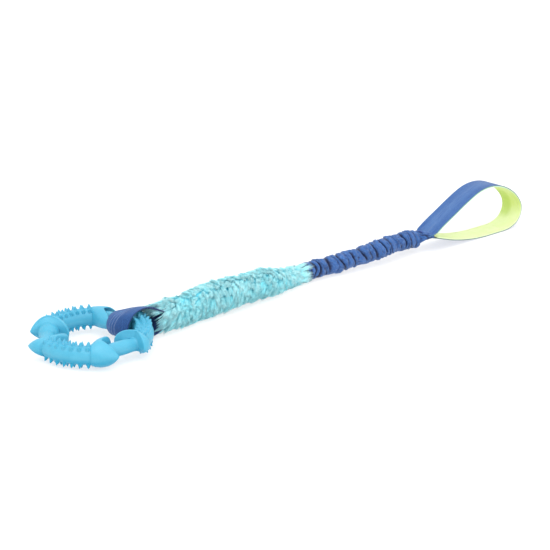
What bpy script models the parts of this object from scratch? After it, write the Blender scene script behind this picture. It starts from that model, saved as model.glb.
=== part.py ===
"""Bungee tug toy: a soft chew ring held by a webbing loop, a faux-fur sleeve over flat webbing,
an elastic core in a gathered nylon tube, and a lined hand loop.

The toy lies on a surface. +X runs from the ring to the hand loop, +Z is up, and the origin is the
middle of the footprint. Metres.
"""

import math

import bmesh
import bpy
from mathutils import Matrix, Vector

for old in list(bpy.data.objects):
    bpy.data.objects.remove(old, do_unlink=True)

MM = 0.001

# ---------------------------------------------------------------- driving dimensions, in mm
# The toy's own long axis starts at the ring's centre. These two carry it to the footprint's middle.
CENTRE_X = 282.294
CENTRE_Y = -1.216

# chew ring
RING_R = 50.0  # centre of the lobes' tube, from the ring's centre
TUBE_R = 9.2  # spiked lobe, without spikes
BAR_R = 6.7  # straight smooth bar
COLLAR_W = 19.5  # half-width of a collar's rim, in the ring's plane
COLLAR_H = 13.9  # half-height of a collar's rim
COLLAR_IN = 2.0  # how far a collar sits towards the ring's centre
LOBE_END = 32.0  # degrees from a lobe's middle to where its collar stands
SEAM = 27.5  # degrees from a lobe's middle to where the collar begins to swell
RING_TURN = -35.6  # azimuth of the first lobe's middle, degrees
SPIKES_PER_ROW = 7
SPIKE_PITCH = 8.33  # degrees
SPIKE_ROWS = (44.0, 90.0, 136.0)  # round the tube, from the ring's outer side over its top
SPIKE_TIP = 13.8  # from the tube's centre line
SPIKE_BASE_R = 1.95
SPIKE_TIP_R = 0.35
RING_LIFT = 1.7  # the strap under one bar lifts that side of the ring by this
AROUND = 16  # sides of the ring's sections

# webbing loop that holds the ring
STRAP_T = 1.3
# lead webbing in the fur sleeve
LEAD_T = 2.4
LEAD_W = 24.0
# fur sleeve
SLEEVE_FRONT = 80.0
SLEEVE_REAR = 280.0
# bungee
CORE_R = 3.8
BORE_R = 4.7
BUNGEE_FRONT = 283.5
BUNGEE_REAR = 461.0
RUFFLE_PITCH = 6.6
RUFFLE_OUT = 10.6
RUFFLE_IN = 8.3
GAP = 0.3
# hand loop
HANDLE_W = 30.0
WEB_T = 1.8
LINING_T = 2.0
LINING_W = 29.0

STRAP_PIVOT = (84.0, -8.0, 17.2)
BUNGEE_PIVOT = (282.0, 10.0, 11.5)
HANDLE_PIVOT = (472.4, 1.0, 19.2)

# ---------------------------------------------------------------- collections and materials
toy = bpy.data.collections.new("bungee_tug_toy")
cutters = bpy.data.collections.new("spikes_to_join")
bpy.context.scene.collection.children.link(toy)
bpy.context.scene.collection.children.link(cutters)


def material(name, colour, roughness, metallic=0.0):
    m = bpy.data.materials.new(name)
    m.use_nodes = True
    shader = m.node_tree.nodes["Principled BSDF"]
    shader.inputs["Base Color"].default_value = (*colour, 1.0)
    shader.inputs["Roughness"].default_value = roughness
    shader.inputs["Metallic"].default_value = metallic
    return m


def finish(obj, mat, parent=None, collection=toy):
    """Puts a piece in its collection with its material, in the toy's place, under its joint's empty."""
    for c in list(obj.users_collection):
        c.objects.unlink(obj)
    collection.objects.link(obj)
    obj.data.materials.clear()
    obj.data.materials.append(mat)
    if obj.type == "MESH":
        obj.data.shade_smooth()
        obj.data.set_sharp_from_angle(angle=math.radians(35))
    if parent is not None:
        obj.parent = parent
        obj.matrix_parent_inverse = parent.matrix_world.inverted()
    return obj


def place(x, y, z):
    """A point on the toy's own axis, in mm from the ring's centre and the floor, to the row's metres."""
    return Vector(((x - CENTRE_X) * MM, (y - CENTRE_Y) * MM, z * MM))


def joint_empty(name, point):
    e = bpy.data.objects.new(name, None)
    e.empty_display_size = 0.01
    toy.objects.link(e)
    e.location = place(*point)
    bpy.context.view_layer.update()
    return e


# ---------------------------------------------------------------- geometry helpers
def smooth(t):
    t = max(0.0, min(1.0, t))
    return t * t * (3 - 2 * t)


def spline(points, x):
    """A smooth value at x from (x, value) pairs, by Catmull-Rom with uneven spacing."""
    if x <= points[0][0]:
        return points[0][1]
    if x >= points[-1][0]:
        return points[-1][1]
    i = max(k for k in range(len(points) - 1) if points[k][0] <= x)
    x0, y0 = points[i]
    x1, y1 = points[i + 1]
    before = points[i - 1] if i else points[i]
    after = points[i + 2] if i + 2 < len(points) else points[i + 1]
    m0 = (y1 - before[1]) / (x1 - before[0])
    m1 = (after[1] - y0) / (after[0] - x0)
    h = x1 - x0
    t = (x - x0) / h
    return (
        (2 * t**3 - 3 * t**2 + 1) * y0
        + (t**3 - 2 * t**2 + t) * h * m0
        + (-2 * t**3 + 3 * t**2) * y1
        + (t**3 - t**2) * h * m1
    )


def through(points, steps):
    """A smooth polyline through points of any dimension, centripetal-like with chord lengths."""
    lengths = [0.0]
    for a, b in zip(points, points[1:]):
        lengths.append(lengths[-1] + math.dist(a, b))
    channels = [
        [(lengths[k], p[c]) for k, p in enumerate(points)] for c in range(len(points[0]))
    ]
    return [
        tuple(spline(ch, lengths[-1] * n / steps) for ch in channels)
        for n in range(steps + 1)
    ]


def loft(name, rings, loop=False, ends="cap"):
    """A closed solid through rings of equal count. loop joins the last ring to the first."""
    bm = bmesh.new()
    made = [[bm.verts.new(p) for p in ring] for ring in rings]
    pairs = list(zip(made, made[1:])) + ([(made[-1], made[0])] if loop else [])
    n = len(rings[0])
    for a, b in pairs:
        for k in range(n):
            bm.faces.new((a[k], a[(k + 1) % n], b[(k + 1) % n], b[k]))
    if not loop and ends == "cap":
        bm.faces.new(list(reversed(made[0])))
        bm.faces.new(made[-1])
    bmesh.ops.recalc_face_normals(bm, faces=bm.faces)
    mesh = bpy.data.meshes.new(name)
    bm.to_mesh(mesh)
    bm.free()
    obj = bpy.data.objects.new(name, mesh)
    bpy.context.scene.collection.objects.link(obj)
    return obj


def block(name, centre, size, turn=Matrix.Identity(3)):
    """A box of size (x, y, z) in mm, its edges bevelled, made from the cube primitive."""
    bm = bmesh.new()
    bmesh.ops.create_cube(bm, size=1.0)
    for v in bm.verts:
        v.co = turn @ Vector((v.co.x * size[0], v.co.y * size[1], v.co.z * size[2])) * MM
        v.co += place(*centre)
    mesh = bpy.data.meshes.new(name)
    bm.to_mesh(mesh)
    bm.free()
    obj = bpy.data.objects.new(name, mesh)
    bpy.context.scene.collection.objects.link(obj)
    edge = obj.modifiers.new("soft_edges", "BEVEL")
    edge.width = 0.2 * MM
    edge.segments = 1
    edge.limit_method = "ANGLE"
    return obj


# ---------------------------------------------------------------- chew ring
def direction(deg):
    return Vector((math.cos(math.radians(deg)), math.sin(math.radians(deg)), 0.0))


UP = Vector((0, 0, 1))


def lobe_sections():
    """Sections of one lobe with its two collars, its middle at azimuth 0, from the root of the bar before it to the root of the bar after it. Flat on z 0, in mm."""
    phis = [2 * math.pi * k / AROUND for k in range(AROUND)]
    end = direction(LOBE_END) * RING_R
    bar_way = direction(150.0)
    bar_out = direction(60.0)

    def rim_reach(phi):
        return 6.5 + 4.5 * math.cos(2 * phi)

    after = []
    swell = 5
    start = direction(SEAM) * RING_R
    rim_at = end - bar_out * COLLAR_IN
    for k in range(1, swell + 1):
        t = k / swell
        grow = math.sin(t * math.pi / 2)
        w = TUBE_R + (COLLAR_W - TUBE_R) * grow
        h = TUBE_R + (COLLAR_H - TUBE_R) * grow
        turn = SEAM + (60.0 - SEAM) * smooth(t)
        out = direction(turn)
        centre = start.lerp(rim_at, t)
        after.append(
            [
                centre
                + out * w * math.cos(p)
                + UP * h * math.sin(p)
                + bar_way * (t**1.6) * rim_reach(p)
                for p in phis
            ]
        )
    # the cup's inside, from the rim back to the bar's root
    for w, h, share, offset in (
        (COLLAR_W - 1.6, COLLAR_H - 1.4, 0.97, COLLAR_IN),
        (0.5 * (COLLAR_W + BAR_R), 0.5 * (COLLAR_H + BAR_R), 0.62, COLLAR_IN * 0.6),
        (BAR_R, BAR_R, 0.0, 0.0),
    ):
        centre = end - bar_out * offset
        after.append(
            [
                centre
                + bar_out * w * math.cos(p)
                + UP * h * math.sin(p)
                + bar_way * (2.2 + (rim_reach(p) - 2.2) * share)
                for p in phis
            ]
        )
    arc = []
    steps = 8
    for k in range(steps + 1):
        a = -SEAM + 2 * SEAM * k / steps
        out = direction(a)
        arc.append(
            [
                out * (RING_R + TUBE_R * math.cos(p)) + UP * TUBE_R * math.sin(p)
                for p in phis
            ]
        )
    before = [[Vector((v.x, -v.y, v.z)) for v in ring] for ring in reversed(after)]
    return before + arc + after


BAR_AXIS_R = RING_R * math.cos(math.radians(60.0 - LOBE_END))  # bar's distance from the centre
BAR_AZ = RING_TURN + 60.0  # the bar that the strap holds
BAR_MID = direction(BAR_AZ) * BAR_AXIS_R
BAR_WAY = direction(BAR_AZ - 90.0)
TILT_REACH = BAR_AXIS_R + RING_R * math.cos(math.radians(LOBE_END))
TILT = math.asin(RING_LIFT / TILT_REACH)


def ring_place():
    """The flat ring to its place: half its height up, and tipped by the strap under one bar, about a
    line along that bar, through the opposite lobe's collars on the floor."""
    hold = -direction(BAR_AZ) * RING_R * math.cos(math.radians(LOBE_END))
    tip = Matrix.Rotation(TILT, 4, BAR_WAY)
    lifted = Matrix.Translation(hold) @ tip @ Matrix.Translation(-hold)
    to_row = Matrix.Translation(Vector((-CENTRE_X, -CENTRE_Y, COLLAR_H + 0.05)))
    return Matrix.Scale(MM, 4) @ to_row @ lifted


PLACE_RING = ring_place()
BAR_MID_ROW = PLACE_RING @ BAR_MID  # a point on the ring's swing axis, metres

rings = []
for third in range(3):
    turn = Matrix.Rotation(math.radians(RING_TURN + 120.0 * third), 4, "Z")
    rings += [[PLACE_RING @ (turn @ v) for v in ring] for ring in lobe_sections()]
ring = loft("chew_ring", rings, loop=True)

spikes = bmesh.new()
for third in range(3):
    turn = Matrix.Rotation(math.radians(RING_TURN + 120.0 * third), 4, "Z")
    for row in [*SPIKE_ROWS, *(-r for r in SPIKE_ROWS)]:
        for k in range(SPIKES_PER_ROW):
            a = (k - (SPIKES_PER_ROW - 1) / 2) * SPIKE_PITCH
            out = direction(a)
            way = out * math.cos(math.radians(row)) + UP * math.sin(math.radians(row))
            foot = out * RING_R + way * (TUBE_R - 1.2)
            length = SPIKE_TIP - TUBE_R + 1.2
            stand = UP.rotation_difference(way).to_matrix().to_4x4()
            spot = Matrix.Translation(foot + way * length / 2) @ stand
            bmesh.ops.create_cone(
                spikes,
                cap_ends=True,
                segments=5,
                radius1=SPIKE_BASE_R * 1.25,
                radius2=SPIKE_TIP_R,
                depth=length,
                matrix=PLACE_RING @ turn @ spot,
            )
spike_mesh = bpy.data.meshes.new("ring_spikes")
spikes.to_mesh(spike_mesh)
spikes.free()
spike_set = bpy.data.objects.new("ring_spikes", spike_mesh)
cutters.objects.link(spike_set)
spike_set.hide_render = True
spike_set.display_type = "WIRE"
grow = ring.modifiers.new("spikes", "BOOLEAN")
grow.operation = "UNION"
grow.solver = "EXACT"
grow.object = spike_set

plush_joint = joint_empty("plush_root", (180.0, 0.0, 16.0))
strap_joint = joint_empty("strap_flex_axis", STRAP_PIVOT)
ring_joint = bpy.data.objects.new("ring_swing_axis", None)
ring_joint.empty_display_size = 0.01
toy.objects.link(ring_joint)
ring_joint.location = BAR_MID_ROW
bungee_joint = joint_empty("bungee_bend_axis", BUNGEE_PIVOT)
neck_joint = joint_empty("bungee_stretch_axis", (BUNGEE_REAR, 7.0, 12.0))
handle_joint = joint_empty("handle_flex_axis", HANDLE_PIVOT)
bpy.context.view_layer.update()
for child, parent in (
    (strap_joint, plush_joint),
    (ring_joint, strap_joint),
    (bungee_joint, plush_joint),
    (neck_joint, bungee_joint),
    (handle_joint, neck_joint),
):
    child.parent = parent
    child.matrix_parent_inverse = parent.matrix_world.inverted()
bpy.context.view_layer.update()

soft_rubber = material("sky_blue_rubber", (0.10, 0.55, 0.80), 0.42)
finish(ring, soft_rubber, ring_joint)

# ---------------------------------------------------------------- webbing loop round the bar
# Three long lines of the loop, from the sleeve over the top, round the bar and back below:
# (x, y, z) of the far edge, the middle and the near edge of the webbing's middle surface.
STRAP_LINES = (
    (
        (83.0, 0.0, 18.7), (72.0, 5.0, 23.5), (58.0, 12.0, 28.6), (46.0, 15.6, 30.2),
        (35.5, 16.6, 28.0), (29.0, 16.9, 21.5), (27.6, 16.9, 15.0), (29.5, 16.4, 8.2),
        (36.5, 14.5, 3.0), (48.0, 11.0, 1.0), (62.0, 6.5, 3.0), (74.0, 2.0, 9.4),
        (83.0, 0.0, 15.7),
    ),
    (
        (83.0, -8.0, 18.7), (72.0, -6.0, 24.4), (59.0, -2.5, 29.6), (46.0, -0.2, 30.6),
        (31.5, 1.0, 28.2), (24.5, 1.4, 21.5), (22.6, 1.3, 15.0), (24.5, 0.8, 7.8),
        (32.5, -1.0, 2.0), (48.0, -3.5, 0.73), (63.0, -5.2, 2.4), (75.0, -7.0, 9.0),
        (83.0, -8.0, 15.7),
    ),
    (
        (83.0, -16.0, 18.7), (73.0, -17.2, 24.4), (62.0, -16.8, 29.4), (51.0, -15.2, 31.0),
        (39.5, -14.4, 28.6), (32.5, -14.4, 22.0), (30.6, -14.6, 15.4), (32.5, -15.0, 8.0),
        (39.5, -16.0, 2.0), (51.0, -16.8, 0.73), (64.0, -17.2, 2.4), (75.5, -17.0, 9.0),
        (83.0, -16.0, 15.7),
    ),
)
ALONG_STRAP, ACROSS_STRAP = 34, 4


def strap_grid():
    lines = [through(line, ALONG_STRAP) for line in STRAP_LINES]
    rows = []
    for k in range(ALONG_STRAP + 1):
        far, mid, near = (line[k] for line in lines)
        row = []
        for c in range(ACROSS_STRAP + 1):
            u = c / ACROSS_STRAP
            # a parabola through the three points
            a, b, d = (1 - u) * (1 - 2 * u), 4 * u * (1 - u), u * (2 * u - 1)
            row.append(tuple(a * f + b * m + d * n for f, m, n in zip(far, mid, near)))
        rows.append(row)
    return rows


bm = bmesh.new()
grid = [[bm.verts.new(place(*p)) for p in row] for row in strap_grid()]
for a, b in zip(grid, grid[1:]):
    for k in range(ACROSS_STRAP):
        bm.faces.new((a[k], a[k + 1], b[k + 1], b[k]))
bmesh.ops.recalc_face_normals(bm, faces=bm.faces)
strap_mesh = bpy.data.meshes.new("ring_strap")
bm.to_mesh(strap_mesh)
bm.free()
strap = bpy.data.objects.new("ring_strap", strap_mesh)
bpy.context.scene.collection.objects.link(strap)
thick = strap.modifiers.new("thickness", "SOLIDIFY")
thick.thickness = STRAP_T * MM
thick.offset = 0.0
thick.use_even_offset = True
royal = material("royal_blue_webbing", (0.055, 0.13, 0.42), 0.72)
thread = material("royal_blue_thread", (0.04, 0.10, 0.36), 0.6)
finish(strap, royal, strap_joint)

tack = block("strap_bartack", (80.4, -8.0, 17.2), (2.6, 13.0, 1.4))
finish(tack, thread, strap_joint)

# ---------------------------------------------------------------- the long centre line
LINE_Y = [
    (74.0, -8.0), (84.0, -8.0), (104.0, -3.5), (135.0, 0.0), (180.0, 0.5), (225.0, 2.0),
    (260.0, 6.0), (283.0, 9.6), (302.0, 10.6), (345.0, 5.0), (397.0, 1.2), (430.0, 4.0),
    (454.0, 6.5), (472.0, 1.0),
]
# Half-width, half-height of the fur's outer shape and of the bore through it
FUR_W = [(80.0, 15.2), (94.0, 17.0), (130.0, 17.8), (169.0, 18.4), (228.0, 16.2), (261.0, 13.6), (280.0, 12.4)]
FUR_H = [(80.0, 15.2), (94.0, 16.2), (130.0, 17.2), (169.0, 17.6), (228.0, 15.6), (261.0, 13.0), (280.0, 12.0)]
BORE_W = [(80.0, 12.6), (100.0, 13.2), (225.0, 13.0), (262.0, 9.0), (280.0, 8.6)]
BORE_H = [(80.0, 7.0), (96.0, 6.0), (225.0, 5.4), (262.0, 5.4), (280.0, 5.8)]
LEAD_HALF = [(88.0, 9.0), (100.0, LEAD_W / 2), (222.0, LEAD_W / 2), (258.0, 7.6), (277.0, 7.2)]
LINE_Z = [(80.0, 17.2), (100.0, 17.0), (169.0, 17.4), (228.0, 15.4), (261.0, 12.6), (283.0, 11.5)]


def sleeve_ring(x, w, h, z, n=20):
    y = spline(LINE_Y, x)
    return [
        place(
            x,
            y + w * math.cos(2 * math.pi * k / n),
            z + h * math.sin(2 * math.pi * k / n),
        )
        for k in range(n)
    ]


stations = [
    SLEEVE_FRONT + (SLEEVE_REAR - SLEEVE_FRONT) * k / 14 for k in range(15)
]
outer = [sleeve_ring(x, spline(FUR_W, x), spline(FUR_H, x), spline(FUR_H, x)) for x in stations]
inner = [
    sleeve_ring(x, spline(BORE_W, x), spline(BORE_H, x), spline(LINE_Z, x)) for x in stations
]
fur = loft("plush_sleeve", outer + list(reversed(inner)), loop=True)
finish(fur, material("aqua_faux_fur", (0.35, 0.75, 0.75), 0.95), plush_joint)


def flat_band(name, stations, half_width, thickness, z_of, y_of):
    rings = []
    for x in stations:
        w, y, z = half_width(x), y_of(x), z_of(x)
        rings.append(
            [
                place(x, y - w, z - thickness / 2),
                place(x, y + w, z - thickness / 2),
                place(x, y + w, z + thickness / 2),
                place(x, y - w, z + thickness / 2),
            ]
        )
    return loft(name, rings)


lead = flat_band(
    "lead_webbing",
    [88.0 + (277.0 - 88.0) * k / 14 for k in range(15)],
    lambda x: spline(LEAD_HALF, x),
    LEAD_T,
    lambda x: spline(LINE_Z, x),
    lambda x: spline(LINE_Y, x),
)
finish(lead, royal.copy(), plush_joint)

# The stitches that hold the sleeve down on the lead webbing at each end
stitches = material("aqua_thread", (0.25, 0.65, 0.70), 0.6)


def sleeve_stitch(name, x, width):
    z = spline(LINE_Z, x)
    from_web = LEAD_T / 2 + GAP
    to_bore = spline(BORE_H, x) * 0.93 - GAP
    return block(
        name,
        (x, spline(LINE_Y, x), z + (from_web + to_bore) / 2),
        (2.4, width, to_bore - from_web),
    )


finish(sleeve_stitch("front_sleeve_stitch", 100.0, 8.0), stitches, plush_joint)
finish(sleeve_stitch("rear_sleeve_stitch", 268.0, 4.0), stitches.copy(), plush_joint)


# ---------------------------------------------------------------- bungee
BUNGEE_Z = [(283.5, 10.6), (320.0, 11.6), (345.0, 13.2), (382.0, 15.6), (415.0, 17.2), (438.0, 16.0), (461.0, 14.4)]


def bungee_z(x):
    """Height of its line: the middle stands clear of the floor, carried between the fur and the hand loop."""
    return spline(BUNGEE_Z, x)


def tube_ring(x, r, n=16, lean=0.0):
    """A ring round the bungee's line. lean tips it, so that ruffles run askew."""
    y, z = spline(LINE_Y, x), bungee_z(x)
    return [
        place(
            x + lean * math.cos(2 * math.pi * k / n + 0.8),
            y + r * math.cos(2 * math.pi * k / n),
            z + r * math.sin(2 * math.pi * k / n),
        )
        for k in range(n)
    ]


def ruffle_r(x):
    grow = smooth((x - BUNGEE_FRONT) / 8.0)
    shrink = smooth((BUNGEE_REAR - x) / 5.0)
    wave = 0.5 + 0.5 * math.cos(2 * math.pi * (x - 292.0) / RUFFLE_PITCH)
    full = RUFFLE_IN + (RUFFLE_OUT - RUFFLE_IN) * wave
    return min(5.0 + (full - 5.0) * grow, 6.4 + (full - 6.4) * shrink)


count = 66
places = [BUNGEE_FRONT + (BUNGEE_REAR - BUNGEE_FRONT) * k / count for k in range(count + 1)]
outer = [
    tube_ring(x, ruffle_r(x), lean=1.0 * smooth((x - 288.0) / 6.0) * smooth((456.0 - x) / 6.0))
    for x in places
]
inner = [tube_ring(x, BORE_R) for x in places[::3]]
gathered = loft("bungee_sleeve", outer + list(reversed(inner)), loop=True)
nylon = material("royal_blue_nylon", (0.05, 0.14, 0.45), 0.5)
finish(gathered, nylon, bungee_joint)

core = bpy.data.curves.new("bungee_core", "CURVE")
core.dimensions = "3D"
core.bevel_depth = CORE_R * MM
core.bevel_resolution = 2
core.use_fill_caps = True
run = core.splines.new("POLY")
core_places = [BUNGEE_FRONT + 4.0 + (BUNGEE_REAR - 5.0 - BUNGEE_FRONT) * k / 22 for k in range(23)]
run.points.add(len(core_places) - 1)
for point, x in zip(run.points, core_places):
    v = place(x, spline(LINE_Y, x), bungee_z(x))
    point.co = (v.x, v.y, v.z, 1.0)
core_obj = bpy.data.objects.new("bungee_core", core)
bpy.context.scene.collection.objects.link(core_obj)
finish(core_obj, material("white_elastic", (0.8, 0.8, 0.78), 0.6), bungee_joint)

front_tack = block(
    "front_core_stitch", (BUNGEE_FRONT + 2.2, spline(LINE_Y, BUNGEE_FRONT + 2.2), 10.6), (2.6, 5.6, 4.4)
)
finish(front_tack, thread.copy(), bungee_joint)


# ---------------------------------------------------------------- neck
def neck_ring(t, n=16):
    """From the round end of the gathered tube to a flat stitched fold."""
    x = 461.4 + 8.4 * t
    y = spline(LINE_Y, x)
    z = bungee_z(461.0) + (18.6 - bungee_z(461.0)) * smooth(t)
    w = 6.4 + 5.6 * smooth(t)
    h = 6.2 - 3.0 * smooth(t)
    return [
        place(
            x,
            y + w * math.cos(2 * math.pi * k / n),
            z + h * math.sin(2 * math.pi * k / n),
        )
        for k in range(n)
    ]


neck = loft("neck_wrap", [neck_ring(k / 5) for k in range(6)])
finish(neck, nylon.copy(), neck_joint)
top_tack = block("rear_core_stitch", (466.6, 3.2, 22.2), (2.2, 8.0, 0.8), Matrix.Rotation(math.radians(-12), 3, "Y"))
finish(top_tack, thread.copy(), neck_joint)

# ---------------------------------------------------------------- hand loop
# Outer outline of the loop, seen from the side: (x, z), from the neck over the top and back below
LOOP_TOP = [
    (474.6, 22.4), (486.0, 29.3), (506.0, 39.0), (527.0, 49.4), (546.0, 57.6),
    (561.0, 61.2), (577.0, 61.6), (592.0, 58.0), (606.0, 50.8), (618.0, 41.0),
    (626.0, 29.0), (626.4, 17.0), (619.0, 6.6), (606.0, 1.2), (596.0, 0.0),
]
LOOP_BOTTOM = [(562.0, 0.0), (544.0, 1.0), (522.0, 4.0), (503.0, 8.0), (488.0, 12.4), (474.6, 16.2)]


def loop_outline():
    """(point, inward normal) along the loop, with a straight flat run where it lies on the floor."""
    first = through(LOOP_TOP, 40)
    # the curve's end runs into the flat
    flat_a, flat_b = (594.0, 0.0), (564.0, 0.0)
    second = through(LOOP_BOTTOM, 14)
    line = first[:-1] + [flat_a, flat_b] + second[1:]
    line = [(x, max(z, 0.0)) for x, z in line]
    out = []
    for k, p in enumerate(line):
        a = line[max(k - 1, 0)]
        b = line[min(k + 1, len(line) - 1)]
        dx, dz = b[0] - a[0], b[1] - a[1]
        if p in (flat_a, flat_b):
            dx, dz = -1.0, 0.0
        n = math.hypot(dx, dz)
        out.append((p, (dz / n, -dx / n)))
    return out


def band(name, start, thickness, width, skip_first=0, skip_last=0):
    """A strip that follows the loop, from start mm inside its outer face, as a flat outline
    with depth."""
    line = loop_outline()
    line = line[skip_first : len(line) - skip_last]
    # the loop runs over the top towards +X and back, so the inside is to its right
    near = [(p[0] + n[0] * start, p[1] + n[1] * start) for p, n in line]
    far = [
        (p[0] + n[0] * (start + thickness), p[1] + n[1] * (start + thickness)) for p, n in line
    ]
    outline = near + list(reversed(far))
    curve = bpy.data.curves.new(name, "CURVE")
    curve.dimensions = "2D"
    curve.fill_mode = "BOTH"
    curve.extrude = width / 2 * MM
    poly = curve.splines.new("POLY")
    poly.points.add(len(outline) - 1)
    for point, (x, z) in zip(poly.points, outline):
        point.co = ((x - CENTRE_X) * MM, z * MM, 0.0, 1.0)
    poly.use_cyclic_u = True
    obj = bpy.data.objects.new(name, curve)
    bpy.context.scene.collection.objects.link(obj)
    obj.rotation_euler = (math.radians(90), 0, 0)
    obj.location = (0, -CENTRE_Y * MM, 0)
    bpy.context.view_layer.update()
    return obj


webbing = band("handle_webbing", 0.0, WEB_T, HANDLE_W)
finish(webbing, royal.copy(), handle_joint)
lining = band("handle_lining", WEB_T + GAP, LINING_T, LINING_W, 5, 3)
finish(lining, material("neon_lining", (0.78, 0.92, 0.28), 0.8), handle_joint)


def seam(name, side):
    """The line of stitches along one edge of the lining's inner face."""
    line = band(name, WEB_T + GAP + LINING_T + 0.2, 0.4, 0.7, 7, 5)
    line.location.y += side * (LINING_W / 2 - 2.6) * MM
    return line


pale_thread = material("mint_thread", (0.55, 0.85, 0.70), 0.6)
finish(seam("handle_seam_near", -1), pale_thread, handle_joint)
finish(seam("handle_seam_far", 1), pale_thread.copy(), handle_joint)

loop_tack = block("handle_bartack", (478.4, 0.0, 19.4), (2.6, 20.0, 1.0))
finish(loop_tack, thread.copy(), handle_joint)
bpy.context.view_layer.update()
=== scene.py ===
"""Looks of the bungee tug toy: a soft spiked chew ring on a webbing loop, a faux-fur sleeve, a
gathered bungee and a lined hand loop, lying on a pale floor."""

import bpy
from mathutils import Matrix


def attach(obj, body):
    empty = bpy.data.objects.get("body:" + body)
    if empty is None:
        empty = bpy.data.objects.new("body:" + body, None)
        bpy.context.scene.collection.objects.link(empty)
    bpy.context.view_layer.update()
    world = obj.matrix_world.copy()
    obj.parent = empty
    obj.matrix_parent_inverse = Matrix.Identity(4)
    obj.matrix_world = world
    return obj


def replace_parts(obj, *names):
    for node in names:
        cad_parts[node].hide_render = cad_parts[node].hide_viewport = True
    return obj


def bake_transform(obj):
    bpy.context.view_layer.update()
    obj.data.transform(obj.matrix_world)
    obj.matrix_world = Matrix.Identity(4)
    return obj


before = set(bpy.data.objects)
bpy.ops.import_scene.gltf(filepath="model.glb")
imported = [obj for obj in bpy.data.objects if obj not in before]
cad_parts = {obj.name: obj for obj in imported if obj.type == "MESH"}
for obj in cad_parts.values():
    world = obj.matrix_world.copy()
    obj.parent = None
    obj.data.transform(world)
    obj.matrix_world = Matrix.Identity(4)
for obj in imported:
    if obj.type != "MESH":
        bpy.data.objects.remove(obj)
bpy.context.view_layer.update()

import math

import bmesh
import bpy
import numpy as np
from mathutils import Matrix, Vector

MM = 0.001
CENTRE_X, CENTRE_Y = 282.294, -1.216
PI = math.pi


# ---------------------------------------------------------------- camera
def make_camera():
    cam = bpy.data.objects.new("camera", bpy.data.cameras.new("camera"))
    bpy.context.scene.collection.objects.link(cam)
    right = Vector((0.7513, -0.66, 0.0))
    forward = Vector((0.6227, 0.7089, -0.3313)).normalized()
    right = (right - forward * right.dot(forward)).normalized()
    up = right.cross(forward).normalized()
    turn = Matrix((right, up, -forward)).transposed().to_4x4()
    cam.matrix_world = Matrix.Translation((-1.084394, -1.182084, 0.5754)) @ turn
    cam.data.sensor_width = 36.0
    cam.data.lens = 101.4545
    cam.data.clip_start, cam.data.clip_end = 0.05, 60.0
    bpy.context.scene.camera = cam
    return right, up, forward


RIGHT, UPWARD, FORWARD = make_camera()


# ---------------------------------------------------------------- helpers
def smooth(t):
    t = np.clip(t, 0.0, 1.0)
    return t * t * (3 - 2 * t)


def spline(points, x):
    """A smooth value at x from (x, value) pairs, by Catmull-Rom with uneven spacing."""
    xs = np.array([p[0] for p in points], float)
    ys = np.array([p[1] for p in points], float)
    x = np.clip(np.asarray(x, float), xs[0], xs[-1])
    i = np.clip(np.searchsorted(xs, x, side="right") - 1, 0, len(xs) - 2)
    j0, j3 = np.maximum(i - 1, 0), np.minimum(i + 2, len(xs) - 1)
    m0 = (ys[i + 1] - ys[j0]) / (xs[i + 1] - xs[j0])
    m1 = (ys[j3] - ys[i]) / (xs[j3] - xs[i])
    h = xs[i + 1] - xs[i]
    t = (x - xs[i]) / h
    return (
        (2 * t**3 - 3 * t**2 + 1) * ys[i]
        + (t**3 - 2 * t**2 + t) * h * m0
        + (-2 * t**3 + 3 * t**2) * ys[i + 1]
        + (t**3 - t**2) * h * m1
    )


def through(points, steps):
    """A smooth polyline, evenly spaced by the points' own chord lengths."""
    p = np.array(points, float)
    lengths = np.concatenate([[0], np.cumsum(np.linalg.norm(np.diff(p, axis=0), axis=1))])
    at = np.linspace(0, lengths[-1], steps + 1)
    return np.stack(
        [spline(list(zip(lengths, p[:, c])), at) for c in range(p.shape[1])], axis=1
    )


def place(p):
    """Points in mm on the toy's own axis to the row's metres."""
    p = np.asarray(p, float)
    return (p - np.array([CENTRE_X, CENTRE_Y, 0.0])) * MM


def unit(v):
    return v / np.maximum(np.linalg.norm(v, axis=-1, keepdims=True), 1e-12)


def waves(seed, count, shortest, longest, *coordinates):
    """A smooth random field about -1 to 1: a seeded sum of plane waves over the coordinates."""
    rng = np.random.default_rng(seed)
    total = np.zeros(np.broadcast(*coordinates).shape)
    for _ in range(count):
        length = shortest * (longest / shortest) ** rng.random()
        way = rng.normal(size=len(coordinates))
        way /= np.linalg.norm(way)
        phase = rng.random() * 2 * PI
        inside = phase
        for c, k in zip(coordinates, way):
            inside = inside + 2 * PI * k / length * c
        total = total + np.sin(inside)
    return total / math.sqrt(count / 2) / 1.6


def grid_faces(n, m, wrap_n=False, wrap_m=False, start=0, flip=False):
    i = np.arange(n if wrap_n else n - 1)
    j = np.arange(m if wrap_m else m - 1)
    a, b = np.meshgrid(i, j, indexing="ij")
    a2, b2 = (a + 1) % n, (b + 1) % m
    quads = np.stack([a * m + b, a * m + b2, a2 * m + b2, a2 * m + b], -1).reshape(-1, 4)
    if flip:
        quads = quads[:, ::-1]
    return quads + start


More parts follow.
